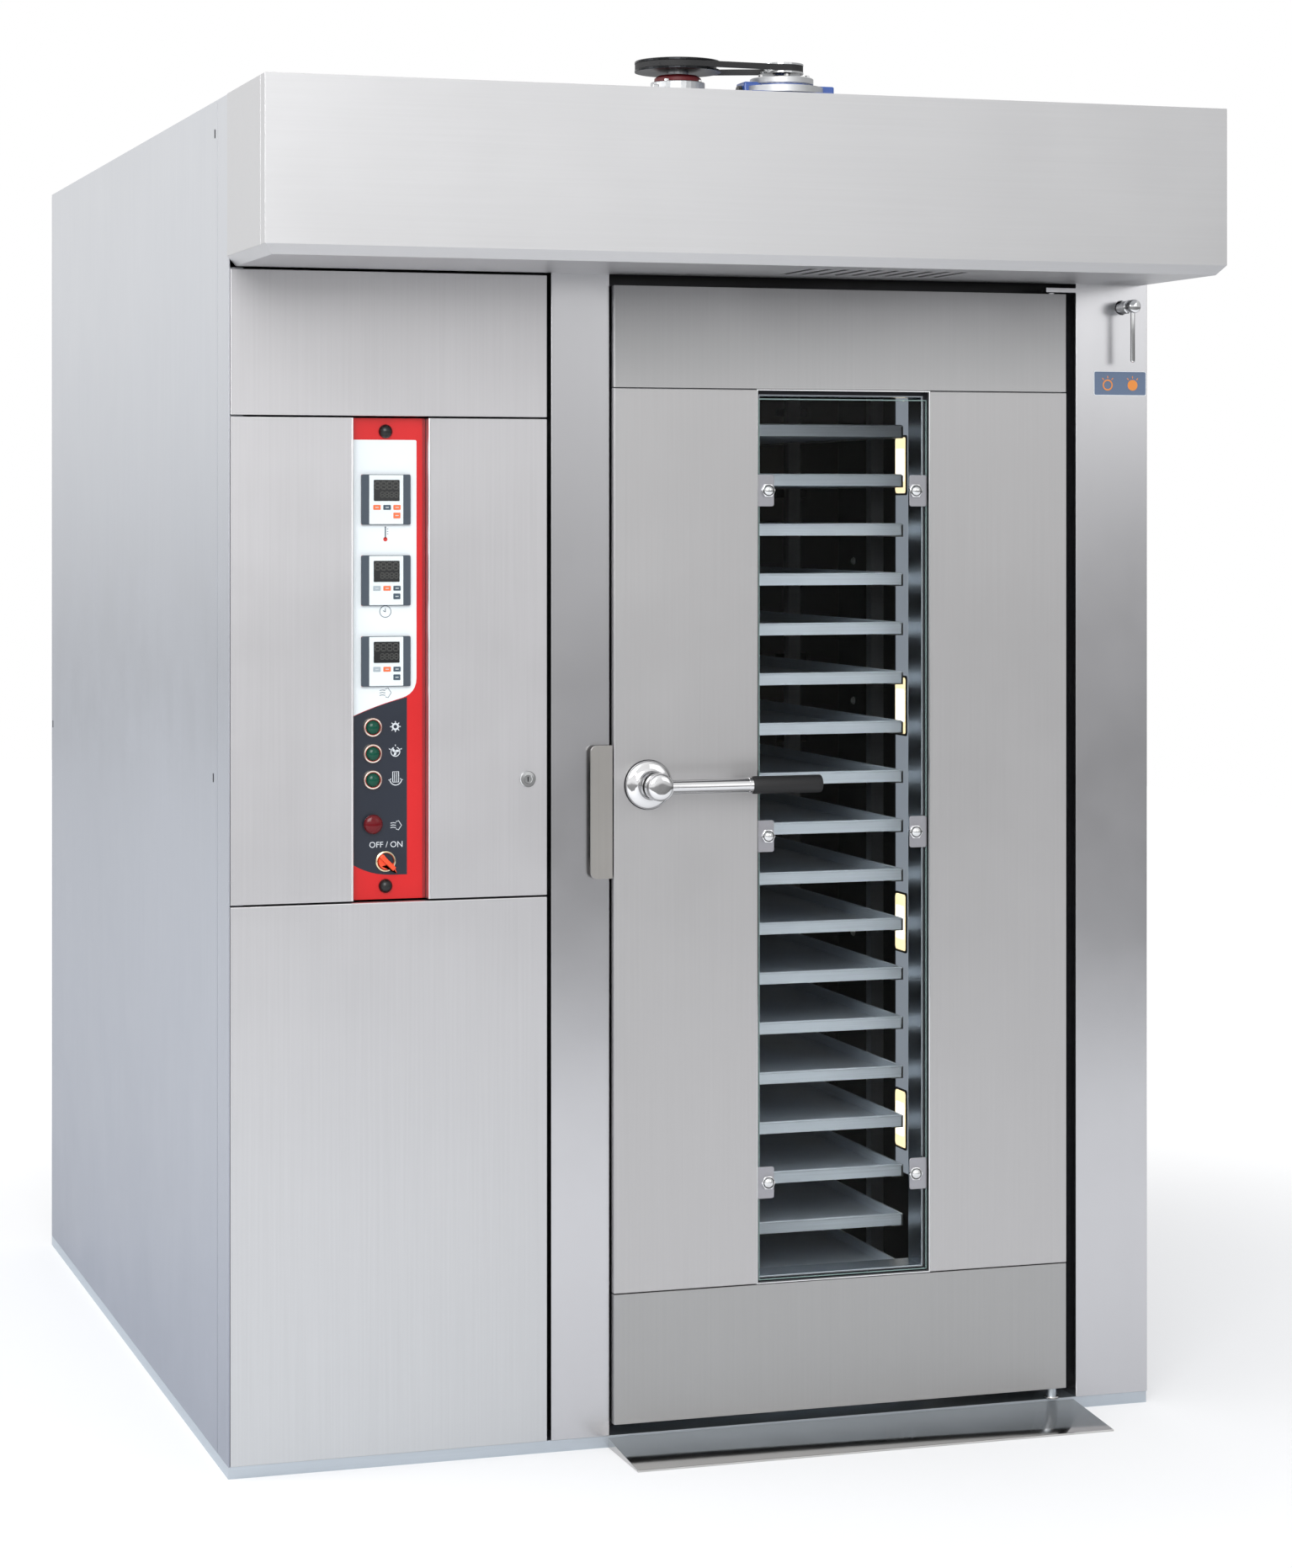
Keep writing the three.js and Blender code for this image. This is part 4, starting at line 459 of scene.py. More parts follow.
# Painted shadow: the covers' colour darkens near their top, where the hood shades them, and a little at the
# bottom.
FRONT_PAINTED_SHADOW = (
    (0.0, (0.96, 0.98, 0.98)), (0.45, (1.0, 0.99, 0.99)), (0.72, (1.0, 0.99, 0.99)),
    (0.79, (0.91, 0.90, 0.90)),
)
POST_STEEL = (0.60, 0.60, 0.62)
POST_ROUGHNESS = 0.22
COVER_EDGE = 1.2

front_steel = metal("front_steel", FRONT_STEEL, 0.38, painted_light=FRONT_PAINTED_SHADOW)
post_steel = metal("post_steel", POST_STEEL, POST_ROUGHNESS, tone=0.05, cloud=0.05, depth=0.06)
dress(["service_top_panel", "service_bottom_panel", "service_door"], front_steel, COVER_EDGE)
dress(["centre_pillar", "right_column"], post_steel, COVER_EDGE)

# ---- Base frame and ramp ----
# A pale frame under the casing, and in front of the door a polished steel wedge that the rack rolls up
# when it comes in from the floor.
RAMP_STEEL = (0.62, 0.61, 0.60)
BASE_STEEL = (0.55, 0.60, 0.65)

ramp_steel = metal("ramp_steel", RAMP_STEEL, 0.13, grain=LEVEL_GRAIN, tone=0.10, cloud=0.08, smudge=0.04)
base_steel = metal("base_steel", BASE_STEEL, 0.45, grain=LEVEL_GRAIN)
dress(["ramp"], ramp_steel, 0.5)
dress(["base_frame"], base_steel, 0.5)

# ---- Control plate ----
# A printed plate in the channel of the service door: red ground, a white field behind the three digital
# controllers and a dark blue one behind the buttons and the switch. The print is two thin films.
PLATE_FACE = 18.7
PLATE_LEFT, PLATE_RIGHT = 207.4, 333.1
PLATE_BASE, PLATE_TOP = 932.5, 1725.5
EDGE_SHADE_WIDTH = 5
FILM = 0.12
CONTROL_X = 265.5
PLATE_RED = (0.62, 0.008, 0.010)
# A darker red, painted shade for the plate's right edge.
PLATE_SHADE_RED = (0.30, 0.012, 0.016)
PLATE_WHITE = (0.80, 0.86, 0.89)
PLATE_BLUE = (0.012, 0.017, 0.030)
WHITE_FIELD = (
    ((PLATE_LEFT, 1690), 1), ((318.3, 1690), 3), ((318.3, 1271), 26), ((248.8, 1251), 30),
    ((PLATE_LEFT, 1233.5), 1),
)
BLUE_FIELD = (
    ((PLATE_LEFT, 1232.8), 1), ((248.8, 1250.2), 30), ((302.2, 1265.2), 0.5), ((302.2, 972), 0.5),
    ((239, 972), 36), ((PLATE_LEFT, 992), 1),
)

# Printed or moulded plastic: a faint cloud of tone and a fine leathery skin.
plastic_finish, given, result = value_group(
    "plastic_finish",
    {
        "Colour": "Color", "Tone": "Float", "Roughness": "Float", "Skin Scale": "Float",
        "Skin Depth": "Float",
    },
    {"Colour": "Color", "Roughness": "Float", "Normal": "Vector"},
)
place = object_place(plastic_finish)
cloud = noise(plastic_finish, place, 9.0, 3.0)
skin = noise(plastic_finish, place, given.outputs["Skin Scale"])
shift = swing(plastic_finish, cloud, given.outputs["Tone"])
give(
    plastic_finish, result,
    Colour=scaled(plastic_finish, given.outputs["Colour"], mathed(plastic_finish, "ADD", shift, 1.0)),
    Roughness=mathed(plastic_finish, "ADD", given.outputs["Roughness"], shift),
    Normal=relief(plastic_finish, given.outputs["Skin Depth"], skin),
)


def plastic(name, colour, roughness, tone=0.12, skin=900.0, depth=0.15, coat=0.0, glow=0.0):
    """A painted, printed or moulded surface. coat adds a clear gloss, and glow a light of its own."""
    material, tree = blank_material(name)
    finish = group_in(
        tree, plastic_finish, Colour=(*colour, 1), Tone=tone, Roughness=roughness, Skin_Scale=skin,
        Skin_Depth=depth,
    )
    shader = coated(
        tree, finish, finish.outputs["Colour"], Coat_Weight=coat, Coat_Roughness=0.08,
        Emission_Color=(*colour, 1), Emission_Strength=glow,
    )
    return finished(material, shader)


def soft_corners(corners, steps=7):
    """A closed outline from corners with rounding lengths. Each corner becomes a curve that starts that
    far before it and ends that far after: (1-t)^2 start + 2t(1-t) corner + t^2 end."""
    points = np.array([place for place, _ in corners], float)
    length = np.array([[length] for _, length in corners], float)
    before, after = np.roll(points, 1, 0) - points, np.roll(points, -1, 0) - points
    start = points + before / np.linalg.norm(before, axis=1, keepdims=True) * length
    end = points + after / np.linalg.norm(after, axis=1, keepdims=True) * length
    t = np.linspace(0, 1, steps)[None, :, None]
    curve = (1 - t) ** 2 * start[:, None] + 2 * t * (1 - t) * points[:, None] + t**2 * end[:, None]
    return curve.reshape(-1, 2)


def film(outline, lift=FILM):
    """A printed field: a flat outline in X and Z, lying on the plate and that much proud of it."""
    return pushed(outline, 1, PLATE_FACE + 0.3, PLATE_FACE - lift)


def on_plate(name, bodies, material, **how):
    """A piece of the control plate."""
    return piece(name, bodies, material, "service_door", "control_plate", **how)


plate_red = plastic("plate_red", PLATE_RED, 0.32, coat=0.25)
dress(["control_plate"], plate_red)
shade_red = plastic("shade_red", PLATE_SHADE_RED, 0.35)
field_white = plastic("field_white", PLATE_WHITE, 0.34, tone=0.04, coat=0.2)
field_blue = plastic("field_blue", PLATE_BLUE, 0.34, coat=0.2)
print_grey = plastic("print_grey", (0.62, 0.66, 0.70), 0.4)
print_slate = plastic("print_slate", (0.10, 0.13, 0.16), 0.4)

on_plate("plate_white_field", [film(soft_corners(WHITE_FIELD))], field_white)
on_plate("plate_blue_field", [film(soft_corners(BLUE_FIELD))], field_blue)
# Painted shade: a dark red strip down the plate's right edge, where the channel's wall shades it.
shade_strip = block(PLATE_RIGHT - EDGE_SHADE_WIDTH, PLATE_RIGHT, PLATE_FACE - 0.8, PLATE_FACE + 1, PLATE_BASE, PLATE_TOP)
on_plate("plate_edge_shade", [shade_strip], shade_red, edge=0.6)

# ---- Controllers ----
# Three digital panel meters clipped through the plate, each with two dark side wings, a pale face, a
# black liquid crystal window with two rows of unlit figures, and four rubber keys.
CONTROLLER_HEIGHTS = (1591.5, 1458.1, 1324.7)
CONTROLLER_SIZE = 83
CONTROLLER_FACE = 12.3
FACE_WIDTH = 57.5
WINDOW = (44, 35)
WINDOW_RISE = 15
FIGURE_ROWS = ((24.8, 9.4, 13.5, 1.9), (9.6, 7.2, 10.2, 1.5))
FIGURES_PER_ROW = 4
LOWER_ROW_SHIFT = 4.5
KEY_CORNER = 1.2
KEY_MARK_SIZE = (5.5, 1.5)
KEYS = (
    (-16.0, -12.9, 12.6, 8.0), (1.2, -12.9, 12.7, 8.0), (18.0, -12.9, 12.3, 8.0),
    (17.7, -26.3, 11.8, 9.4),
)
KEY_COLOURS = (
    ("orange", "navy", "orange", "orange"), ("grey", "orange", "navy", "navy"),
    ("grey", "orange", "navy", "navy"),
)


def figure_strokes(width, height, stroke):
    """The seven strokes of a figure eight about its middle. Each is a bar with pointed ends, whose six
    corners lie half a stroke in from its ends and half a stroke to its sides."""
    half, gap = stroke / 2, stroke * 0.16

    def bar(length):
        end = length / 2 - gap
        upper = np.array([(-end, 0), (-end + half, half), (end - half, half)])
        return np.concatenate([upper, -upper])

    level, upright = bar(width - stroke), bar((height - stroke) / 2)[:, ::-1]
    side, step = (width - stroke) / 2, (height - stroke) / 4
    levels = [level + (0, rise) for rise in (-2 * step, 0, 2 * step)]
    uprights = [upright + (x, z) for x in (-side, side) for z in (-step, step)]
    return levels + uprights


slate = plastic("slate_plastic", (0.052, 0.070, 0.092), 0.42)
pale_plastic = plastic("pale_plastic", (0.76, 0.83, 0.84), 0.42, tone=0.04)
display_glass = plastic("display_glass", (0.008, 0.009, 0.010), 0.12, coat=0.6)
unlit_figure = plastic("unlit_figure", (0.060, 0.062, 0.058), 0.3)
key_rubbers = {
    "orange": plastic("orange_key", (0.82, 0.16, 0.05), 0.5),
    "navy": plastic("navy_key", (0.045, 0.075, 0.105), 0.5),
    "grey": plastic("grey_key", (0.36, 0.42, 0.46), 0.5),
}
key_mark = plastic("key_mark", (0.55, 0.60, 0.62), 0.5)

for number, (rise, colours) in enumerate(zip(CONTROLLER_HEIGHTS, KEY_COLOURS), 1):
    name = f"controller_{number}"
    centre = np.array([CONTROL_X, 0, rise])
    housing = pushed(oblong(CONTROLLER_SIZE, CONTROLLER_SIZE, 2.5), 1, PLATE_FACE, CONTROLLER_FACE, centre)
    on_plate(name + "_housing", [housing], slate, edge=0.8)
    face = oblong(FACE_WIDTH, CONTROLLER_SIZE - 2, 1)
    face = pushed(face, 1, CONTROLLER_FACE + 0.5, CONTROLLER_FACE - 0.7, centre)
    on_plate(name + "_face", [face], pale_plastic, edge=0.5)
    window_centre = centre + (0.5, 0, WINDOW_RISE)
    inner, outer = oblong(*WINDOW, 1.5), oblong(*(np.array(WINDOW) + 3), 2.5)
    front, back = CONTROLLER_FACE - 1.5, CONTROLLER_FACE - 0.4
    frame_rings = [
        across(line, 1, window_centre, along)
        for line, along in ((outer, back), (outer, front), (inner, front), (inner, back))
    ]
    on_plate(name + "_window_frame", [np.stack(frame_rings)], pale_plastic, edge=0.3, ring=True)
    display = pushed(inner * 1.02, 1, back, CONTROLLER_FACE - 0.9, window_centre)
    on_plate(name + "_display", [display], display_glass)
    strokes = []
    for row_rise, width, height, stroke in FIGURE_ROWS:
        span = (np.arange(FIGURES_PER_ROW) - (FIGURES_PER_ROW - 1) / 2) * width * 1.1
        shift = 0 if height > 12 else LOWER_ROW_SHIFT
        for x in span + shift + 0.5:
            figure_centre = centre + (x, 0, row_rise - 1.5)
            strokes += [
                pushed(bar, 1, CONTROLLER_FACE - 0.8, CONTROLLER_FACE - 1.0, figure_centre)
                for bar in figure_strokes(width, height, stroke)
            ]
    on_plate(name + "_figures", strokes, unlit_figure)
    for index, ((x, z, width, height), colour) in enumerate(zip(KEYS, colours), 1):
        key_centre = centre + (x, 0, z)
        key = oblong(width, height, KEY_CORNER)
        key = pushed(key, 1, CONTROLLER_FACE, CONTROLLER_FACE - 1.7, key_centre)
        on_plate(f"{name}_key_{index}", [key], key_rubbers[colour], edge=0.5)
        mark = pushed(oblong(*KEY_MARK_SIZE), 1, CONTROLLER_FACE - 1, CONTROLLER_FACE - 1.8, key_centre)
        on_plate(f"{name}_key_mark_{index}", [mark], key_mark)

# ---- Signs on the control plate ----
# Small printed signs: a thermometer, a clock and a steam arrow under the controllers, and a lamp, a fan,
# a turning rack and a steam jet beside the buttons. Each is a thin film, and its lines are strokes.
THERMOMETER = (265.5, 1535)
CLOCK = (265.5, 1406.7)
WHITE_STEAM = (265.5, 1272.5)
LAMP_SIGN = (282.5, 1216.5)
FAN_SIGN = (282.5, 1175)
RACK_SIGN = (283, 1130)
BLUE_STEAM = (283.5, 1053.5)
SIGN_FILM = 0.22
SIGN_LINE = 1.3


def stroke(points, width=SIGN_LINE):
    """The outline of a line drawn through points: each point moved half the width to the left of the
    line's run there, then all of them again on the right, in reverse."""
    points = np.asarray(points, float)
    run = np.gradient(points, axis=0)
    run /= np.linalg.norm(run, axis=1, keepdims=True)
    aside = np.stack([-run[:, 1], run[:, 0]], 1) * width / 2
    return np.concatenate([points + aside, (points - aside)[::-1]])


def arc(radius, start, end, centre=(0, 0), steps=24):
    """Points on a circle's arc between two angles in degrees."""
    angle = np.radians(np.linspace(start, end, steps))
    return np.stack([np.cos(angle), np.sin(angle)], 1) * radius + centre


def sign(name, place, outlines, material):
    """Prints a sign made of flat outlines about its own middle."""
    on_plate(name, [film(outline + np.asarray(place), SIGN_FILM) for outline in outlines], material)


def spokes(inner, outer, turns, centre=(0, 0), width=1.5):
    """Short strokes that point away from a middle, at the given angles in degrees."""
    ends = np.array([inner, outer])[:, None]
    return [stroke(ends * (np.cos(a), np.sin(a)) + centre, width) for a in np.radians(turns)]


def steam_arrow(size):
    """Three level puffs that run into a forked arrow head pointing right."""
    puffs = [stroke([(-11, z), (-6, z + 0.8), (0, z)]) for z in (-4.5, 0, 4.5)]
    head = stroke([(0, 7), (5, 9), (11, 0), (5, -9), (0, -7)])
    return [outline * size for outline in puffs + [head]]


mark_red = plastic("mark_red", (0.62, 0.04, 0.03), 0.4)
sign(
    "sign_thermometer", THERMOMETER,
    [stroke([(0, -8), (0, 12)], 2.2)] + [stroke([(2.6, z), (5, z)], 1) for z in (0, 4, 8)], print_slate,
)
sign("sign_thermometer_bulb", THERMOMETER, [arc(3.6, 0, 350, (0, -9))], mark_red)
sign(
    "sign_clock", CLOCK,
    [
        stroke(arc(9.5, 0, 360, steps=36), 1.2), stroke([(0, -1), (0, 5.5)]),
        stroke([(-4, 1.5), (0.5, -0.5)]),
    ],
    print_slate,
)
sign("sign_steam", WHITE_STEAM, steam_arrow(0.9), print_slate)
sign(
    "sign_lamp", LAMP_SIGN, [stroke(arc(4.6, 0, 360), 3)] + spokes(6.2, 9, np.arange(90, 450, 45)),
    print_grey,
)
fan = [stroke(arc(7.5, 110, 430), 1.4)]
for turn in (0, 120, 240):
    blade_middle = 3.2 * np.array([np.cos(np.radians(turn)), np.sin(np.radians(turn))])
    fan.append(arc(3.4, turn, turn + 200, blade_middle, 12))
fan += [stroke(ray) for ray in ([(-11, 5), (-8, 4)], [(11, 5), (8, 4)], [(0, 9), (0, 12)])]
sign("sign_fan", FAN_SIGN, fan, print_grey)
rack = [stroke([(-5, -5), (-5, 12), (5, 12), (5, -5), (-5, -5)], 1.4)]
rack += [stroke([(x, -4), (x, 11)], 1.1) for x in (-1.8, 1.8)]
rack += [stroke(arc(10, 190, 350), 1.5)]
rack += [stroke([(12 * side, -1), (9.8 * side, -2), (8 * side, 1)]) for side in (-1, 1)]
sign("sign_rack", RACK_SIGN, rack, print_grey)
sign("sign_steam_jet", BLUE_STEAM, steam_arrow(0.85), print_grey)

# ---- Switch lettering ----
# OFF / ON in small capitals, printed above the main switch.
SWITCH_TEXT_HEIGHT = 9.6
SWITCH_TEXT_PLACE = (266.5, 1022.3)

text = bpy.data.curves.new("switch_text", "FONT")
text.body = "OFF / ON"
text.align_x, text.align_y = "CENTER", "CENTER"
text.extrude = 0.01
drawn_text = bpy.data.objects.new("switch_text", text)
bpy.context.scene.collection.objects.link(drawn_text)
bpy.context.view_layer.update()
letters = bpy.data.meshes.new_from_object(drawn_text.evaluated_get(bpy.context.evaluated_depsgraph_get()))
bpy.data.objects.remove(drawn_text)
flat = np.empty(len(letters.vertices) * 3)
letters.vertices.foreach_get("co", flat)
flat = flat.reshape(-1, 3)
low, high = flat.min(0), flat.max(0)
size = SWITCH_TEXT_HEIGHT / (high[1] - low[1])
flat = (flat - (low + high) / 2) * (size, size, 1)
depth = np.where(flat[:, 2] > 0, PLATE_FACE - SIGN_FILM, PLATE_FACE + 0.2)
places = np.stack([flat[:, 0] + SWITCH_TEXT_PLACE[0], depth, flat[:, 1] + SWITCH_TEXT_PLACE[1]], 1)
letters.vertices.foreach_set("co", on_oven(places).ravel())
letters.materials.clear()
letters.materials.append(print_grey)
switch_text = bpy.data.objects.new("switch_lettering", letters)
bpy.context.scene.collection.objects.link(switch_text)
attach(switch_text, "service_door")

# ---- Buttons, switch and plate fixings ----
# Green glass lenses in heavy warm-chromed bezels, a red dome, a rotary switch with a pointed grip in a
# brass ring, and two black domes over the plate's screws.
BUTTON_X = 243.5
GREEN_HEIGHTS = (1216.1, 1172.8, 1129.5)
RED_HEIGHT = 1056.5
SWITCH_PLACE = (CONTROL_X, PLATE_FACE, 994.5)
DOME_HEIGHTS = (954, 1704)
GREEN_GLASS = (0.002, 0.070, 0.042)
RED_GLASS = (0.13, 0.004, 0.008)
SWITCH_RED = (0.90, 0.075, 0.018)


def lens(name, colour, rough=0.12, clear=0.9):
    """Coloured glass or clear-coated plastic with a deep tone, and painted shade by the angle it is seen
    at:
    dark at its rim and brighter in the middle, where light comes back through it."""
    material, tree = blank_material(name)
    finish = group_in(
        tree, plastic_finish, Colour=(*colour, 1), Tone=0.3, Roughness=rough, Skin_Scale=300.0,
        Skin_Depth=0.05,
    )
    rim = node(tree, "LayerWeight", Blend=0.35).outputs["Facing"]
    painted_rim_shade = multiplied(tree, finish.outputs["Colour"], (0.18, 0.18, 0.18, 1), rim)
    shader = coated(tree, finish, painted_rim_shade, Coat_Weight=clear, Coat_Roughness=0.03, Specular_IOR_Level=0.2)
    return finished(material, shader)


def dome(radius, height, start, steps=9, flat=0.02):
    """A profile of radii and distances that rises from a rim as a quarter ellipse to its top: radius
    times cos t, height times sin t."""
    t = np.linspace(0, np.pi / 2, steps)
    return [(max(radius * np.cos(a), flat), -(start + height * np.sin(a))) for a in t]


GREEN_PROFILE = [(11.9, 4), (11.9, -4.5), *dome(11.2, 6.5, 5)]
GREEN_BEZEL = [(12.2, 0.6), (12.2, -4.2), (13.2, -5.6), (15.0, -5.3), (16.2, -3.2), (16.4, 0.6)]
RED_PROFILE = [(11.9, 4), (11.9, -5.2), (15.9, -5.4), (16, -6.4), *dome(15.6, 5.8, 6.6)]
SWITCH_RING = [(13.6, 0.4), (13.6, -3), (14.8, -4), (16.8, -3), (17.2, 0.4)]
PLATE_DOME = [(11.4, 0.4), (11.6, -1), *dome(11.4, 9.5, 1.4)]
SKIRT_STEPS = ((1, 0.4), (1, 8), (0.93, 9))
GRIP_STEPS = ((1, 8), (1, 14.5), (0.86, 16))

green_glass = lens("green_glass", GREEN_GLASS, clear=0.25)
red_glass = lens("red_glass", RED_GLASS, clear=0.25)
switch_red = plastic("switch_red", SWITCH_RED, 0.34, coat=0.3)
warm_chrome = metal("warm_chrome", (0.86, 0.82, 0.72), 0.2, grain=(300, 300, 300), tone=0.2, smudge=0.2)
brass_ring = metal("brass_ring", (0.80, 0.70, 0.48), 0.22, grain=(300, 300, 300), tone=0.2)
black_cap = plastic("black_cap", (0.006, 0.006, 0.0065), 0.34)

for number, height in enumerate(GREEN_HEIGHTS, 1):
    centre = (BUTTON_X, PLATE_FACE, height)
    cap = piece(
        f"green_lens_{number}", [turned(GREEN_PROFILE, 1, centre)], green_glass,
        f"green_button_{number}", "green_lens", smooth=True,
    )
    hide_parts(f"green_button_{number}")
    piece(
        f"green_bezel_{number}", [turned(GREEN_BEZEL, 1, centre)], warm_chrome, "service_door",
        "chrome", smooth=True, ring=True,
    )

red_cap = piece(
    "red_dome", [turned(RED_PROFILE, 1, (BUTTON_X, PLATE_FACE, RED_HEIGHT))], red_glass, "red_button",
    "red_lens", smooth=True,
)
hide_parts("red_button")


def stepped(outline, steps):
    """An outline of the switch, scaled and carried out from the plate by each step."""
    return np.stack([across(outline * s, 1, SWITCH_PLACE, PLATE_FACE - d) for s, d in steps])


pointer = np.concatenate([arc(13, -20, -250, steps=28), [(16.5, -16.5)]])[::-1]
grip_outline = stroke([(-10.5, 10.5), (12.5, -12.5)], 7.5)
knob_bodies = [stepped(pointer, SKIRT_STEPS), stepped(grip_outline, GRIP_STEPS)]
knob = piece("switch_knob", knob_bodies, switch_red, "main_switch", "red_plastic", edge=0.8)
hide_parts("main_switch")
piece(
    "switch_ring", [turned(SWITCH_RING, 1, SWITCH_PLACE)], brass_ring, "service_door", "chrome",
    smooth=True, ring=True,
)
for number, height in enumerate(DOME_HEIGHTS, 1):
    piece(
        f"plate_dome_{number}", [turned(PLATE_DOME, 1, (CONTROL_X, PLATE_FACE, height))], black_cap,
        "service_door", "black_plastic", smooth=True,
    )

# ---- Service door lock and channel edge ----
# A chromed quarter-turn lock with a key slot, and the rolled lips down both sides of the channel, whose
# steel is painted lighter than the sheet as a highlight.
LOCK_PLACE = (504.4, 0, 1126)
CHANNEL_SIDES = (205.4, 335.6)
CHANNEL_BASE, CHANNEL_TOP = 932.5, 1725.5
LOCK_FACE = [(13.4, -0.4), (13.4, -2), (12.4, -3.1), (7.2, -3.3), (6.6, -2.6), (0.5, -2.5)]
# Painted reflections: the chrome's colour is banded dark and light by the angle it is seen at, standing for
# the surroundings it mirrors.
CHROME_PAINTED_REFLECTION = (
    (0.0, 0.95), (0.26, 1.0), (0.40, 0.30), (0.52, 0.12), (0.62, 0.75), (0.80, 1.0), (0.93, 0.35),
)

chrome = metal(
    "chrome", (0.80, 0.81, 0.82), 0.10, grain=(260, 260, 260), tone=0.05, cloud=0.05, smudge=0.08,
    painted_reflection=CHROME_PAINTED_REFLECTION,
)
lip_highlight_steel = metal("lip_highlight_steel", (0.88, 0.88, 0.89), 0.34, tone=0.05)
lip = arc(1.9, 200, -20, (0, 0.3), 9)
piece(
    "channel_lips",
    [pushed(lip * (1, -1), 2, CHANNEL_BASE, CHANNEL_TOP, (x, 0, 0)) for x in CHANNEL_SIDES], lip_highlight_steel,
    "service_door", "front_steel",
)
dress(["service_lock"], chrome, 0.5)
piece("lock_face", [turned(LOCK_FACE, 1, LOCK_PLACE)], chrome, "service_lock", "chrome", smooth=True)
piece(
    "lock_key_slot", [pushed(oblong(1.8, 8.5, 0.8), 1, -2.2, -2.8, LOCK_PLACE)], gap_and_shade_black,
    "service_lock", "chrome",
)

# ---- Oven door ----
# Four folded stainless skins over an insulated leaf. Each skin's edges are rolled over, so they catch
# the light as thin bright lines. A rubber gasket runs round the back of the leaf.
DOOR_STEEL = (0.53, 0.525, 0.53)
# Painted shadow on the door's head skin: a slightly darker copy of the door steel that darkens further at
# its top, where the hood shades it.
HEAD_SHADED_STEEL = (0.52, 0.52, 0.525)
HEAD_PAINTED_SHADOW = ((0.76, (1.0, 1.0, 1.0)), (0.845, (0.55, 0.55, 0.56)))
KICK_STEEL = (0.42, 0.42, 0.42)
DOOR_LEFT, DOOR_RIGHT = 650, 1477
DOOR_BASE, DOOR_TOP = 42, 1951
DOOR_BACK = 62
GASKET_INSET = 9
GASKET_SECTION = (9, 3.6)

door_steel = metal("door_steel", DOOR_STEEL, 0.40, tone=0.08, cloud=0.08)
leaf_steel = metal("leaf_steel", (0.30, 0.31, 0.33), 0.34)
shaded_head_steel = metal("shaded_head_steel", HEAD_SHADED_STEEL, 0.34, tone=0.08, cloud=0.08, painted_light=HEAD_PAINTED_SHADOW)
kick_steel = metal("kick_steel", KICK_STEEL, 0.36, tone=0.08, cloud=0.08)
dress(["door_skin_left", "door_skin_right"], door_steel, 1.2)
dress(["door_skin_top"], shaded_head_steel, 1.2)
dress(["door_skin_bottom"], kick_steel, 1.2)
dress(["door_core"], leaf_steel, 1.0)
dress(["latch_tongue"], chrome, 0.6)


def mitres(corners):
    """For each corner of a closed path, the way to the path's left along the mitre: the sum of the left
    normals of the runs before and after, over one plus the cosine between those runs."""
    before = corners - np.roll(corners, 1, 0)
    after = np.roll(corners, -1, 0) - corners
    before /= np.linalg.norm(before, axis=1, keepdims=True)
    after /= np.linalg.norm(after, axis=1, keepdims=True)
    left = np.stack([-before[:, 1] - after[:, 1], before[:, 0] + after[:, 0]], 1)
    return left / (1 + (before * after).sum(1, keepdims=True))


def carried_round(outline, corners):
    """An outline in the plane of the wall's thickness, carried round a closed path of corners in X and
    Z. At each corner it is set along the mitre, so that the straight runs keep their section."""
    corners = np.asarray(corners, float)
    outline = np.asarray(outline, float)
    flat = corners[:, None] + mitres(corners)[:, None] * outline[None, :, :1]
    depth = np.broadcast_to(outline[None, :, 1:], flat.shape[:2] + (1,))
    return np.concatenate([flat[..., :1], depth, flat[..., 1:]], -1)


def window_corners(left, right, base, top):
    """The four corners of an upright rectangle in X and Z, anticlockwise from the lower left."""
    return [(left, base), (right, base), (right, top), (left, top)]


rubber = plastic("rubber", (0.016, 0.016, 0.017), 0.72, tone=0.25, skin=500.0, depth=0.3)
gasket = oblong(*GASKET_SECTION, 1.5) + (GASKET_INSET, DOOR_BACK + GASKET_SECTION[1] / 2)
piece(
    "door_gasket",
    [carried_round(gasket, window_corners(DOOR_LEFT + 4, DOOR_RIGHT - 4, DOOR_BASE + 3, DOOR_TOP - 3))],
    rubber, "oven_door", "belt_rubber", smooth=True, ring=True,
)

# ---- Window ----
# A toughened pane with a faint green body, set behind the skins on six steel clips with chromed cap
# nuts, and a bright folded frame that lines the hole through the leaf.
PANE_LEFT, PANE_RIGHT = 912, 1217.5
PANE_BASE, PANE_TOP = 266, 1763
PANE_FRONT, PANE_BACK = -6.3, -0.6
OPENING = (913, 1212.5, 269.5, 1770.5)
HOLE = (905, 1220.5, 261.5, 1778.5)
LINER_BACK = 61
LINER_SHEET = 1.5
CLIP_HEIGHTS = (1607.5, 1020, 431)
CLIP_SIZE = (32, 54)
CLIP_LEFT, CLIP_RIGHT = 921.5, 1201.5
CLIP_FRONT, CLIP_BACK = -8.6, -6.6
NUT_INSET = 5
NUT_RADIUS = 12.4
GLASS_TINT = (0.965, 0.985, 0.98)
GLASS_EDGE = (0.22, 0.32, 0.31)
PANE_BENDING = 1.12


def pane_material(name, tint, rough):
    """Clear glass that lets lamplight through, so that what is behind it is lit."""
    material, tree = blank_material(name)
    film_noise = noise(tree, object_place(tree), 2.2, 4.0)
    smears = node(tree, "MapRange", i0=film_noise, i1=0.35, i2=0.75, i3=rough, i4=rough * 3)
    glass = node(
        tree, "BsdfPrincipled", Base_Color=(*tint, 1), Roughness=smears.outputs[0], IOR=PANE_BENDING,
        Transmission_Weight=1.0,
    )
    clear = node(tree, "BsdfTransparent", Color=(*tint, 1))
    lamp_rays = node(tree, "LightPath").outputs["Is Shadow Ray"]
    return finished(material, blend(tree, lamp_rays, glass, clear))


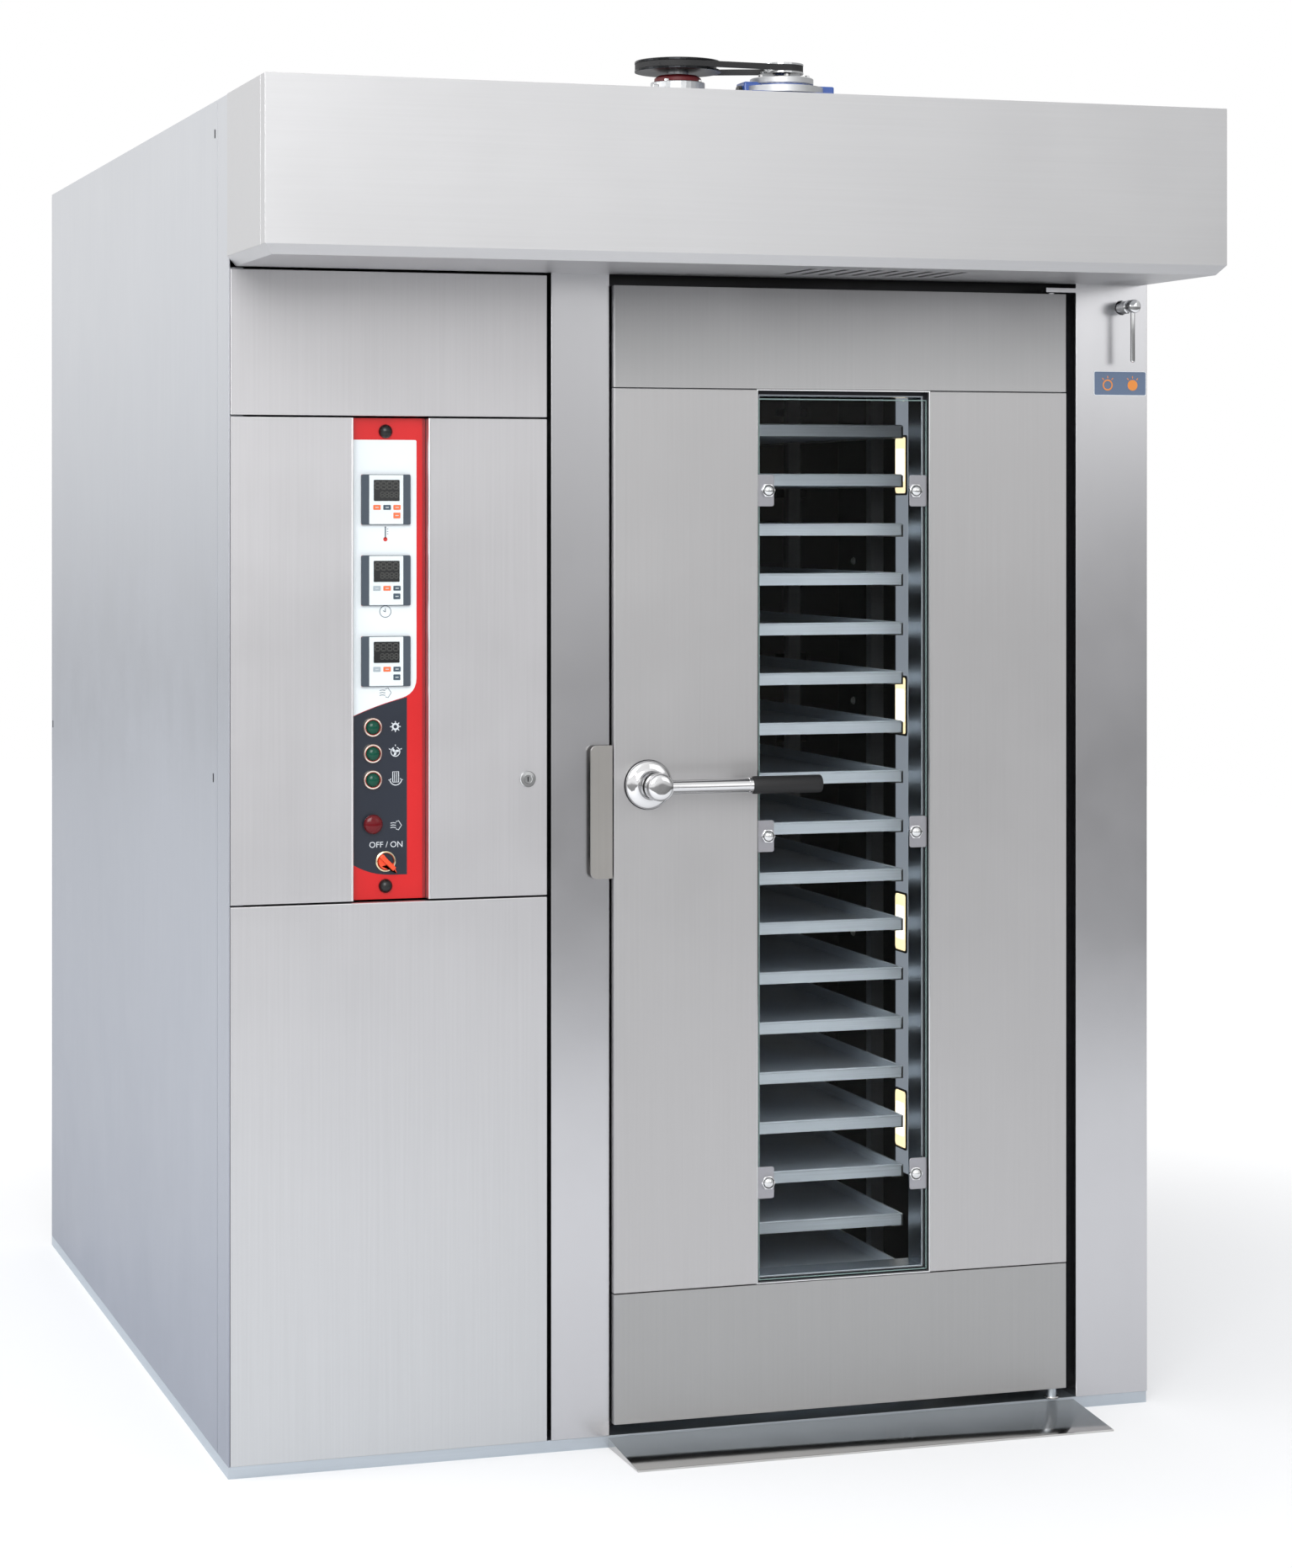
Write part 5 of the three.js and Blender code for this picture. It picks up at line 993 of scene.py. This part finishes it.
window_glass = pane_material("window_glass", GLASS_TINT, 0.012)
glass_edge = lens("glass_edge", GLASS_EDGE, rough=0.1, clear=0.6)
pane_corners = (PANE_RIGHT - PANE_LEFT, PANE_TOP - PANE_BASE)
pane_centre = ((PANE_LEFT + PANE_RIGHT) / 2, 0, (PANE_BASE + PANE_TOP) / 2)
pane_steps = ((0.9985, PANE_FRONT), (1, PANE_FRONT + 0.6), (1, PANE_BACK - 0.6), (0.9985, PANE_BACK))
pane = piece(
    "window_pane",
    [np.stack([across(oblong(*pane_corners) * s, 1, pane_centre, y) for s, y in pane_steps])],
    window_glass, "oven_door", "window",
)
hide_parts("window_glass")

edge_strip = oblong(1.6, 3.2) + (0.4, (PANE_FRONT + PANE_BACK) / 2)
edge_path = window_corners(PANE_LEFT - 0.6, PANE_RIGHT + 0.6, PANE_BASE - 0.6, PANE_TOP + 0.6)
piece(
    "pane_ground_edge", [carried_round(edge_strip, edge_path)], glass_edge, "oven_door", "window",
    ring=True,
)

liner_steel = metal("liner_steel", (0.46, 0.50, 0.55), 0.20, tone=0.12, cloud=0.15)
liner = np.array([(0, 1), (LINER_SHEET, 1), (LINER_SHEET, LINER_BACK), (0, LINER_BACK)])
piece(
    "window_liner", [carried_round(liner, window_corners(*OPENING))], liner_steel, "oven_door",
    "chamber_steel", edge=0.4, ring=True,
)

rolled_edge = arc(1.5, 0, 330, (0.2, -14.2), 9)
piece(
    "window_hole_edge", [carried_round(rolled_edge, window_corners(*HOLE))], chrome, "oven_door",
    "front_steel", smooth=True, ring=True,
)
piece(
    "window_hole_shade", [carried_round(oblong(7, 1.2) + (3.8, -1.2), window_corners(*HOLE))], gap_and_shade_black,
    "oven_door", "dark_steel", ring=True,
)

clip_steel = metal("clip_steel", (0.40, 0.40, 0.43), 0.42, tone=0.05)
hexagon = [(NUT_RADIUS, 0.4), (NUT_RADIUS, -3.6), (NUT_RADIUS * 0.9, -4.2)]
cap = [(NUT_RADIUS * 0.8, -3.6), *dome(NUT_RADIUS * 0.78, 6.6, 4.2, flat=0.05)]
for row, height in enumerate(CLIP_HEIGHTS, 1):
    for side, middle, turn in (("left", CLIP_LEFT, 1), ("right", CLIP_RIGHT, -1)):
        piece(
            f"glass_clip_{side}_{row}",
            [pushed(oblong(*CLIP_SIZE, 4), 1, CLIP_BACK, CLIP_FRONT, (middle, 0, height))], clip_steel,
            "oven_door", "front_steel", edge=0.5,
        )
        nut_place = (middle + turn * NUT_INSET, CLIP_FRONT, height)
        piece(
            f"cap_nut_{side}_{row}", [turned(hexagon, 1, nut_place, 6), turned(cap, 1, nut_place, 20)],
            chrome, "oven_door", "chrome", smooth=True,
        )

# ---- Door handle ----
# A polished rosette on the door, a waisted hub with a domed head, and a round lever whose end carries a
# black heat-proof grip. It turns on the hub's axis and pulls the tongue out of the keeper.
HANDLE = (710, -16.3, 1113)
LEVER_Y = -78.3
LEVER_END = 996
GRIP_START = 873
LEVER_RADIUS = 12
HANDLE_SHAFT = [(12, -0.5), (12, 44.3)]
SHADOW_RING = [(41.2, 0.2), (41.2, -0.6), (42.2, -0.6), (42.2, 0.2)]


def turned_along(profile, sides=40):
    """A turned body that lies along X at the lever's height: profile gives each radius and its X."""
    return turned([(r, x) for r, x in profile], 0, (0, LEVER_Y, HANDLE[2]), sides)


# Painted reflections on the handle: dark and bright bands by the angle it is seen at, as polished chrome
# mirrors its surroundings.
HANDLE_PAINTED_REFLECTION = (
    (0.0, 1.0), (0.18, 0.85), (0.27, 0.14), (0.36, 0.95), (0.52, 1.0), (0.60, 0.10), (0.72, 0.9),
    (0.95, 0.3),
)
polished = metal(
    "polished_chrome", (0.82, 0.82, 0.83), 0.07, grain=(200, 200, 200), tone=0.04, smudge=0.06,
    painted_reflection=HANDLE_PAINTED_REFLECTION,
)
grip_black = plastic("grip_black", (0.006, 0.006, 0.007), 0.6, tone=0.2, skin=1200.0, depth=0.35)
rosette = [
    (41, 0), (41, -5), (40.3, -7.2), (38.4, -8.8), (34, -10.2), (28.5, -11.4), (24.5, -12.8), (22, -15),
    (21, -18), (20.6, -24), (20.6, -46), (22, -48), (23, -50.5), (23, -70), (22.6, -71.6),
    (21.4, -73.2), (18, -75), (12, -76.1), (5, -76.6), (0.1, -76.7),
]
hub = [(r, max(d, -76)) for r, d in rosette]
lever = [(LEVER_RADIUS, 706), (LEVER_RADIUS, GRIP_START - 7), (13, GRIP_START - 6)]
lever += [(13, GRIP_START - 0.5), (9, GRIP_START - 0.4)]
bar_piece = piece(
    "handle_bar", [turned(hub, 1, HANDLE, 56), turned_along(lever), turned(HANDLE_SHAFT, 1, HANDLE)],
    polished, "door_handle", "chrome", smooth=True,
)
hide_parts("handle_lever")
grip_profile = [(9, GRIP_START), (13.6, GRIP_START + 0.3), (14.6, GRIP_START + 1.4), (15, GRIP_START + 4)]
grip_profile += [(15, LEVER_END - 2.4), (14.4, LEVER_END - 0.9), (13, LEVER_END), (0.1, LEVER_END)]
grip_piece = piece(
    "handle_grip_cover", [turned_along(grip_profile)], grip_black, "door_handle", "black_plastic",
    smooth=True,
)
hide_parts("handle_grip")
piece(
    "rosette_shadow_ring", [turned(SHADOW_RING, 1, HANDLE)], gap_and_shade_black, "door_handle", "dark_steel",
    ring=True,
)

# ---- Keeper plate and pivots ----
# A warm brushed keeper plate beside the door's edge, held from behind, and the pivot's washer under the
# door's hinge corner.
WASHER = (1460, 10, 24)
WASHER_RING = [(6.5, -3.6), (13.2, -3.6), (13.6, -2.6), (13.6, -0.6), (13.2, 0.3), (6.5, 0.3)]

keeper_steel = metal("keeper_steel", (0.46, 0.445, 0.425), 0.34, grain=UPRIGHT_GRAIN, tone=0.12)
dress(["keeper_plate"], keeper_steel, 0.8)
piece(
    "lower_pivot_washer", [turned(WASHER_RING, 2, WASHER, 32)], bright_screw, "casing", "chrome",
    smooth=True, ring=True,
)

# ---- Damper control ----
# A chromed spindle through the right column with a thin rod hanging from it, over a small enamel label
# that shows a closed and an open sign.
DAMPER = (1590, 0, 1930)
ROD_Y = -46
FLAP = (1546, 1634, 8, 62, 1929, 1931)
LABEL = (1587.5, 1797)
LABEL_SIZE = (101, 43)
LABEL_RIM = 1.2
OPEN_SIGN, SHUT_SIGN = (-24, -3), (24, -3)
LABEL_BLUE = (0.104, 0.153, 0.249)
LABEL_ORANGE = (0.78, 0.27, 0.05)

spindle = [
    (11.5, 62), (11.5, -30), (11.9, -31), (11.9, -34), (10.2, -35), (10.2, -40), (11.6, -41),
    (11.6, -54), (10.6, -56), (7, -57.6), (0.1, -58),
]
rod = [(4.0, -6), (4.0, -94), (3.2, -97), (0.1, -98)]
lever_piece = piece(
    "damper_control",
    [turned(spindle, 1, DAMPER, 36), turned(rod, 2, (DAMPER[0], ROD_Y, DAMPER[2]), 20), block(*FLAP)],
    chrome, "damper", "chrome", smooth=True,
)
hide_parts("damper_lever")
label_blue = plastic("label_blue", LABEL_BLUE, 0.3, coat=0.3)
label_white = plastic("label_white", (0.74, 0.77, 0.80), 0.4)
label_orange = plastic("label_orange", LABEL_ORANGE, 0.4)


def on_label(outline, proud):
    """A flat outline about the label's middle, laid on the column that far out from it."""
    return pushed(outline, 1, 0.2, -proud, (LABEL[0], 0, LABEL[1]))


piece("damper_label_edge", [on_label(oblong(*LABEL_SIZE, 3), 0.35)], label_white, "casing", "front_steel")
label_ground = oblong(LABEL_SIZE[0] - 2 * LABEL_RIM, LABEL_SIZE[1] - 2 * LABEL_RIM, 2.4)
piece("damper_label", [on_label(label_ground, 0.5)], label_blue, "casing", "blue_paint")
label_signs = [stroke(arc(8.5, 0, 360, OPEN_SIGN), 2.4), *spokes(12, 16, (50, 90, 130), OPEN_SIGN, 1.6)]
label_signs += [arc(9.5, 0, 350, SHUT_SIGN), *spokes(12, 16, (50, 90, 130), SHUT_SIGN, 1.6)]
piece(
    "damper_label_signs", [on_label(outline, 0.7) for outline in label_signs], label_orange, "casing",
    "red_plastic",
)

# ---- Baking chamber ----
# A lining of dull stainless sheet, its colour painted near black as shade for the dim chamber. A pale rail
# on its right wall carries four lamps behind glass, and a few bolts with domed heads show beside it.
CHAMBER_SHADED_STEEL = (0.045, 0.045, 0.047)
CHAMBER_RIGHT = 1544
LAMP_Y = 912
LAMP_HEIGHTS = (358, 751, 1184, 1664)
LAMP_SIZE = (54, 112)
LAMP_CORE = (44, 66)
LAMP_RIM = ((6, 8, -1), (6, 8, -4.4), (5, 6, -5), (1, 1, -5), (0, 0, -3.5), (0, 0, -1))
LAMP_GLASS = ((0.99, -1), (0.99, -4.4), (0.95, -5.4))
CORE_DEPTHS = (-5.8, -5.2)
LAMP_GLOW = (1.0, 0.84, 0.52)
LAMP_RIM_GLOW = (1.0, 0.78, 0.44)
LAMP_STRENGTH = 1.3
CORE_GLOWS = ((0.3, (1.0, 0.93, 0.78)), (0.7, (1.0, 1.0, 0.96)))
CORE_STRENGTH = 1.9
RAIL_SPAN = (252, 1804)
RAIL_WIDTH = 66
BOLT_PLACES = (
    (1030, 1469), (1180, 1469), (1030, 1180), (1180, 1180), (1180, 1145), (1030, 700), (1180, 700),
)

# Painted shade: the lining's and the duct's colours are near black, standing for the little light inside
# the chamber.
chamber_steel = metal(
    "chamber_steel", CHAMBER_SHADED_STEEL, 0.38, grain=(4, 160, 160), tone=0.2, cloud=0.5, smudge=0.35,
    depth=0.2,
)
shaded_duct_steel = metal("shaded_duct_steel", (0.028, 0.026, 0.025), 0.42, tone=0.2, cloud=0.5, smudge=0.3)
element_steel = metal("element_steel", (0.16, 0.14, 0.13), 0.45, grain=(200, 200, 200), cloud=0.4)
dress(["chamber_box"], chamber_steel)
dress(["air_duct_panel"], shaded_duct_steel)
dress(["heating_elements"], element_steel)

lamp_glass, tree = blank_material("lamp_glass")
wave = noise(tree, object_place(tree), 60.0)
glow = ramp(tree, wave, ((0.3, LAMP_RIM_GLOW), (0.7, LAMP_GLOW)))
shader = node(
    tree, "BsdfPrincipled", Base_Color=(0.9, 0.85, 0.6, 1), Roughness=0.2, Emission_Color=glow,
    Emission_Strength=LAMP_STRENGTH,
)
finished(lamp_glass, shader)
lamp_core, tree = blank_material("lamp_core")
core_glow = ramp(tree, noise(tree, object_place(tree), 40.0), CORE_GLOWS)
finished(lamp_core, node(tree, "Emission", Color=core_glow, Strength=CORE_STRENGTH))
lamp_rim = metal("lamp_rim", (0.06, 0.06, 0.06), 0.5)


def lamp_body(height, corner, steps):
    """A body of a lamp: at each step, its rounded outline is that wide and tall and stands that far along
    X from the wall."""
    centre = (0, LAMP_Y, height)
    return np.stack([across(oblong(w, h, corner), 0, centre, CHAMBER_RIGHT + d) for w, h, d in steps])


width, tall = LAMP_SIZE
rim_steps = [(width + a, tall + b, d) for a, b, d in LAMP_RIM]
glass_steps = [(width * s, tall * s, d) for s, d in LAMP_GLASS]
core_steps = [(*LAMP_CORE, d) for d in CORE_DEPTHS]
for number, height in enumerate(LAMP_HEIGHTS, 1):
    rim_body = lamp_body(height, 6, rim_steps)
    piece(f"lamp_rim_{number}", [rim_body], lamp_rim, "casing", "chamber_steel", ring=True)
    glass_body = lamp_body(height, 5, glass_steps)
    piece(f"lamp_glass_{number}", [glass_body], lamp_glass, "casing", "window", smooth=True)
for number, height in enumerate(LAMP_HEIGHTS, 1):
    piece(f"lamp_core_{number}", [lamp_body(height, 5, core_steps)], lamp_core, "casing", "window")

# Painted light: the rail glows with a light of its own that lifts it out of the chamber's dark, though it
# is no lamp.
rail_painted_glow = plastic("rail_painted_glow", (0.36, 0.40, 0.46), 0.4, tone=0.3, skin=30.0, glow=0.6)
rail_sides = (LAMP_Y - RAIL_WIDTH / 2, LAMP_Y + RAIL_WIDTH / 2)
rail = block(CHAMBER_RIGHT - 1.8, CHAMBER_RIGHT + 0.3, *rail_sides, *RAIL_SPAN)
piece("lamp_rail", [rail], rail_painted_glow, "casing", "aluminium", edge=0.4)
bolt_steel = metal("bolt_steel", (0.80, 0.80, 0.78), 0.45, grain=(300, 300, 300), bare=0.5)
bolt = [(8, 0.3), (8, -2), (7.2, -2.4), *dome(6.6, 4.6, 2.4, steps=6, flat=0.1)]
piece(
    "chamber_bolts", [turned(bolt, 0, (CHAMBER_RIGHT, y, z), 16) for y, z in BOLT_PLACES], bolt_steel,
    "casing", "chrome", smooth=True,
)

# ---- Fan and its motor ----
# A pressed aluminium wheel with backward blades, turned by a finned motor on the rear wall.
FAN_MOTOR = (1014, 1698.3, 1100)
FAN_MOTOR_FINS = 22 + 13 * np.arange(9)


def fin(inner, outer, start, thick, centre, sides):
    """A flat ring across Y, from start to start plus thick."""
    profile = [(inner, start), (outer, start), (outer, start + thick), (inner, start + thick)]
    return turned(profile, 1, centre, sides)


aluminium = metal("aluminium", (0.62, 0.65, 0.68), 0.36, grain=(30, 30, 400), tone=0.15, cloud=0.1)
cast_aluminium = metal(
    "cast_aluminium", (0.62, 0.63, 0.64), 0.5, grain=(120, 120, 120), tone=0.12, smudge=0.2, depth=0.35,
)
motor_grey = plastic("motor_grey", (0.19, 0.21, 0.23), 0.45, skin=350.0, depth=0.3)
dress(["fan_impeller"], aluminium)
dress(["fan_motor"], motor_grey, 1.0)
fins = [fin(84, 90, start, 3, FAN_MOTOR, 48) for start in FAN_MOTOR_FINS]
piece("fan_motor_fins", fins, motor_grey, "casing", "grey_paint", ring=True)

# ---- Rack, runners and trays ----
# A welded rack of square tube with folded runners, on four castors, and eighteen pressed aluminium
# trays. Each tray's rim is rolled round a wire, and its flanks are scored by years on the runners.
RACK_STEEL = (0.50, 0.51, 0.52)
TRAY_ALUMINIUM = (0.62, 0.67, 0.74)
RACK_AXIS = (1014, 742)
TRAY_COUNT = 18
TRAY_BASE, TRAY_PITCH = 178, 90
TRAY_WIDTH, TRAY_LENGTH, TRAY_HEIGHT = 596, 798, 22
RIM_RADIUS = 2.1
CASTOR_X, CASTOR_Y = 315, 350
CASTOR_Z = 78.3
TYRE = [(28, -11), (43, -13), (45.4, -9), (45.6, 0), (45.4, 9), (43, 13), (28, 11)]
CASTOR_NECK = [(22, 128.6), (22, 134), (24, 134.4), (24, 139.8)]

rack_steel = metal("rack_steel", RACK_STEEL, 0.30, grain=(200, 200, 3), tone=0.12, cloud=0.15)
tray_metal = metal(
    "tray_aluminium", TRAY_ALUMINIUM, 0.5, grain=(4, 4, 420), tone=0.3, cloud=0.15, smudge=0.2,
    depth=0.3, bare=0.35,
)
dress(["rack_frame"], rack_steel, 0.8)
dress([f"tray_{number:02d}" for number in range(1, TRAY_COUNT + 1)], tray_metal, 0.6)
dress(["drive_shaft"], rack_steel, 0.8)


def carried_flat(outline, corners, height):
    """An outline carried round a level closed path: the path's corners are in X and Y, and the outline
    gives how far out from the path and how far up each of its points lies."""
    corners = np.asarray(corners, float)
    outline = np.asarray(outline, float)
    flat = corners[:, None] - mitres(corners)[:, None] * outline[None, :, :1]
    rise = np.broadcast_to(height + outline[None, :, 1:], flat.shape[:2] + (1,))
    return np.concatenate([flat, rise], -1)


rim = arc(RIM_RADIUS, 0, 315, (0.6, 0), 8)
rim_path = oblong(TRAY_WIDTH - 2.4, TRAY_LENGTH - 2.4) + RACK_AXIS
for number in range(1, TRAY_COUNT + 1):
    top = TRAY_BASE + (number - 1) * TRAY_PITCH + TRAY_HEIGHT - RIM_RADIUS
    piece(
        f"tray_rim_{number:02d}", [carried_flat(rim, rim_path, top)], tray_metal, "rack_rotor",
        "aluminium", smooth=True, ring=True,
    )

tyres, forks = [], []
for x in (-CASTOR_X, CASTOR_X):
    for y in (-CASTOR_Y, CASTOR_Y):
        hub_x, hub_y = RACK_AXIS[0] + x, RACK_AXIS[1] + y
        tyres.append(turned(TYRE, 0, (hub_x, hub_y, CASTOR_Z), 32))
        for cheek in (hub_x - 15.5, hub_x + 15.5):
            forks.append(block(cheek - 1.5, cheek + 1.5, hub_y - 15, hub_y + 15, 66, 128))
        forks.append(block(hub_x - 17, hub_x + 17, hub_y - 17, hub_y + 17, 125.6, 128.6))
        forks.append(turned(CASTOR_NECK, 2, (hub_x, hub_y, 0), 24))
piece("castor_tyres", tyres, rubber, "rack_rotor", "belt_rubber", smooth=True, ring=True)
piece("castor_forks", forks, rack_steel, "rack_rotor", "chrome", edge=0.5)

# ---- Top drive ----
# On the roof a gear motor turns the rack's shaft by a belt: a small steel pulley, a large black one, a
# cast bearing housing with a red seal under the large pulley, and a blue gearbox with a light flange.
SHAFT_X, SHAFT_Y = 1014, 742
MOTOR_X, MOTOR_Y = 1214, 712
ROOF = 2250
ROOF_SCREW = [(5.5, -0.5), (5.5, 0.6), (3.8, 1.6)]
ROOF_COLUMNS = (42, 1598)
ROOF_ROWS = np.arange(130, 1900, 420)
HOUSING_TOP = 2389
PULLEY_TOP = 2428.6
WEB_HUB = [(20.6, -0.5), (20.6, 2.2), (34, 2.2), (36, 0.4), (36, -0.5)]
WEB_RIM = [(70, -0.5), (71, 1), (81, 1), (82.3, 0), (82.3, -0.5)]
SEAL = [(20.8, 2389.5), (44, 2389.5), (45, 2391), (44.5, 2397), (38, 2402), (24, 2404), (20.8, 2403)]
GEARBOX_BASE, GEARBOX_TOP = 2256.3, 2370.3
MOTOR_Z = 2313.3
FLANGE = [(12.3, 2369.5), (79.3, 2369.5), (79.3, 2382.3), (60, 2383), (56, 2384), (56, 2388), (61, 2389)]
FLANGE += [(61, 2399), (59, 2400.5), (44, 2401), (40, 2403), (12.3, 2403.5)]
COLLAR = [(12.3, 2403), (17, 2403), (17.4, 2404), (17.4, 2406.6), (16.6, 2407.4), (12.3, 2407.4)]
GEARBOX_BOXES = (
    ("gearbox_side_port", -84, -50, 2310, 2391, 3.0), ("gearbox_cable_box", 50, 99, 2310, 2387, 3.0),
)
PORT_PLUG = [(13, 1), (13, -5), (11.5, -7), (0.5, -7)]
END_COVER = [(50.5, 984), (56, 984), (56.5, 990), (55, 1004), (49, 1009), (0.5, 1009.5)]
MOTOR_FINS = np.arange(800, 985, 11)
RIB_CORNERS = ((50, 2262), (76, 2262), (54, 2330), (50, 2330))
BLUE_PAINT = (0.022, 0.085, 0.36)

blue_paint = plastic("blue_paint", BLUE_PAINT, 0.34, tone=0.25, skin=260.0, depth=0.3, coat=0.5)
belt_rubber = plastic("belt_rubber", (0.014, 0.014, 0.015), 0.62, tone=0.3, skin=700.0, depth=0.4)
pulley_black = metal("pulley_black", (0.022, 0.023, 0.025), 0.30, grain=(300, 300, 300), smudge=0.3)
pulley_steel = metal("pulley_steel", (0.55, 0.56, 0.57), 0.2, grain=(20, 20, 500), tone=0.3)
seal_red = plastic("seal_red", (0.16, 0.010, 0.014), 0.45)
dress(["bearing_housing"], cast_aluminium, 1.5)
dress(["gear_motor"], blue_paint, 3.0)
dress(["drive_belt"], belt_rubber, 0.4)
dress(["drive_pulley"], pulley_black, 0.6)
dress(["motor_pulley"], pulley_steel, 0.6)

shaft_place, motor_place = (SHAFT_X, SHAFT_Y), (MOTOR_X, MOTOR_Y)
piece(
    "large_pulley_web",
    [
        turned(WEB_HUB, 2, (*shaft_place, PULLEY_TOP), 48),
        turned(WEB_RIM, 2, (*shaft_place, PULLEY_TOP), 64),
    ],
    pulley_black, "rack_rotor", "black_plastic", smooth=True, ring=True,
)
piece(
    "shaft_seal", [turned(SEAL, 2, (*shaft_place, 0), 48)], seal_red, "casing", "red_plastic",
    smooth=True, ring=True,
)


def bolts_round(place, radius, count, head, top, start=0.0):
    """Hexagon bolt heads set evenly round an upright axis."""
    angles = np.radians(start + np.arange(count) * 360 / count)
    spots = [(place[0] + radius * np.cos(a), place[1] + radius * np.sin(a), top) for a in angles]
    return [turned([(head, -0.5), (head, 3.6), (head * 0.85, 4.4)], 2, spot, 6) for spot in spots]


housing_bolts = bolts_round(shaft_place, 68, 6, 6.5, 2262.3)
housing_bolts += bolts_round(shaft_place, 46, 4, 4.5, HOUSING_TOP, 45)
piece("housing_bolts", housing_bolts, bright_screw, "casing", "chrome")
ribs = []
for a in np.radians(np.arange(0, 360, 45)):
    run, aside = np.array([np.cos(a), np.sin(a)]), np.array([-np.sin(a), np.cos(a)]) * 3
    faces = [[(*(shaft_place + run * r + aside * side), z) for r, z in RIB_CORNERS] for side in (-1, 1)]
    ribs.append(np.array(faces))
piece("housing_ribs", ribs, cast_aluminium, "casing", "aluminium", edge=0.8)
piece(
    "housing_grease_block",
    [block(955, 975, 690, 712, 2330, 2362), block(949, 961, 694, 708, 2366, 2380)], cast_aluminium,
    "casing", "aluminium", edge=1.5,
)

# The gearbox's light flange is a stepped ring with bolts through its rim, under a dark shaft collar.
piece(
    "gearbox_flange", [turned(FLANGE, 2, (*motor_place, 0), 56)], cast_aluminium, "casing", "aluminium",
    smooth=True, ring=True,
)
piece("flange_bolts", bolts_round(motor_place, 52, 6, 4.5, 2400.6, 20), bright_screw, "casing", "chrome")
piece(
    "shaft_collar", [turned(COLLAR, 2, (*motor_place, 0), 36)], belt_rubber, "casing", "belt_rubber",
    smooth=True, ring=True,
)
for name, left, right, low, high, edge in GEARBOX_BOXES:
    box = block(MOTOR_X + left, MOTOR_X + right, MOTOR_Y - 24, MOTOR_Y + 24, low, high)
    piece(name, [box], blue_paint, "casing", "blue_paint", edge=edge)
piece(
    "gearbox_port_plug", [turned(PORT_PLUG, 0, (MOTOR_X - 84, MOTOR_Y - 2, 2372), 28)], black_cap,
    "casing", "black_plastic", smooth=True,
)
ribbed = [
    block(x - 2, x + 2, MOTOR_Y - 68.5, MOTOR_Y - 64, GEARBOX_BASE + 6, GEARBOX_TOP - 6)
    for x in MOTOR_X + np.arange(-60, 61, 20)
]
piece("gearbox_ribs", ribbed, cast_aluminium, "casing", "aluminium", edge=1.0)
cover = block(MOTOR_X - 70, MOTOR_X + 70, MOTOR_Y - 66.5, MOTOR_Y - 64, GEARBOX_BASE + 3, GEARBOX_TOP - 3)
piece("gearbox_front_cover", [cover], cast_aluminium, "casing", "aluminium", edge=1.0)
motor_axis = (MOTOR_X, 0, MOTOR_Z)
fin_rings = [fin(49, 55, y, 2.6, motor_axis, 44) for y in MOTOR_FINS]
piece("motor_fins", fin_rings, blue_paint, "casing", "blue_paint", ring=True)
piece(
    "motor_end_cover", [turned(END_COVER, 1, motor_axis, 44)], motor_grey, "casing", "grey_paint",
    smooth=True,
)
piece(
    "motor_terminal_box", [block(MOTOR_X + 42, MOTOR_X + 100, 830, 910, MOTOR_Z - 26, MOTOR_Z + 62)],
    blue_paint, "casing", "blue_paint", edge=4.0,
)
piece(
    "roof_screws", [turned(ROOF_SCREW, 2, (x, y, ROOF), 14) for x in ROOF_COLUMNS for y in ROOF_ROWS],
    bright_screw, "casing", "chrome", smooth=True,
)
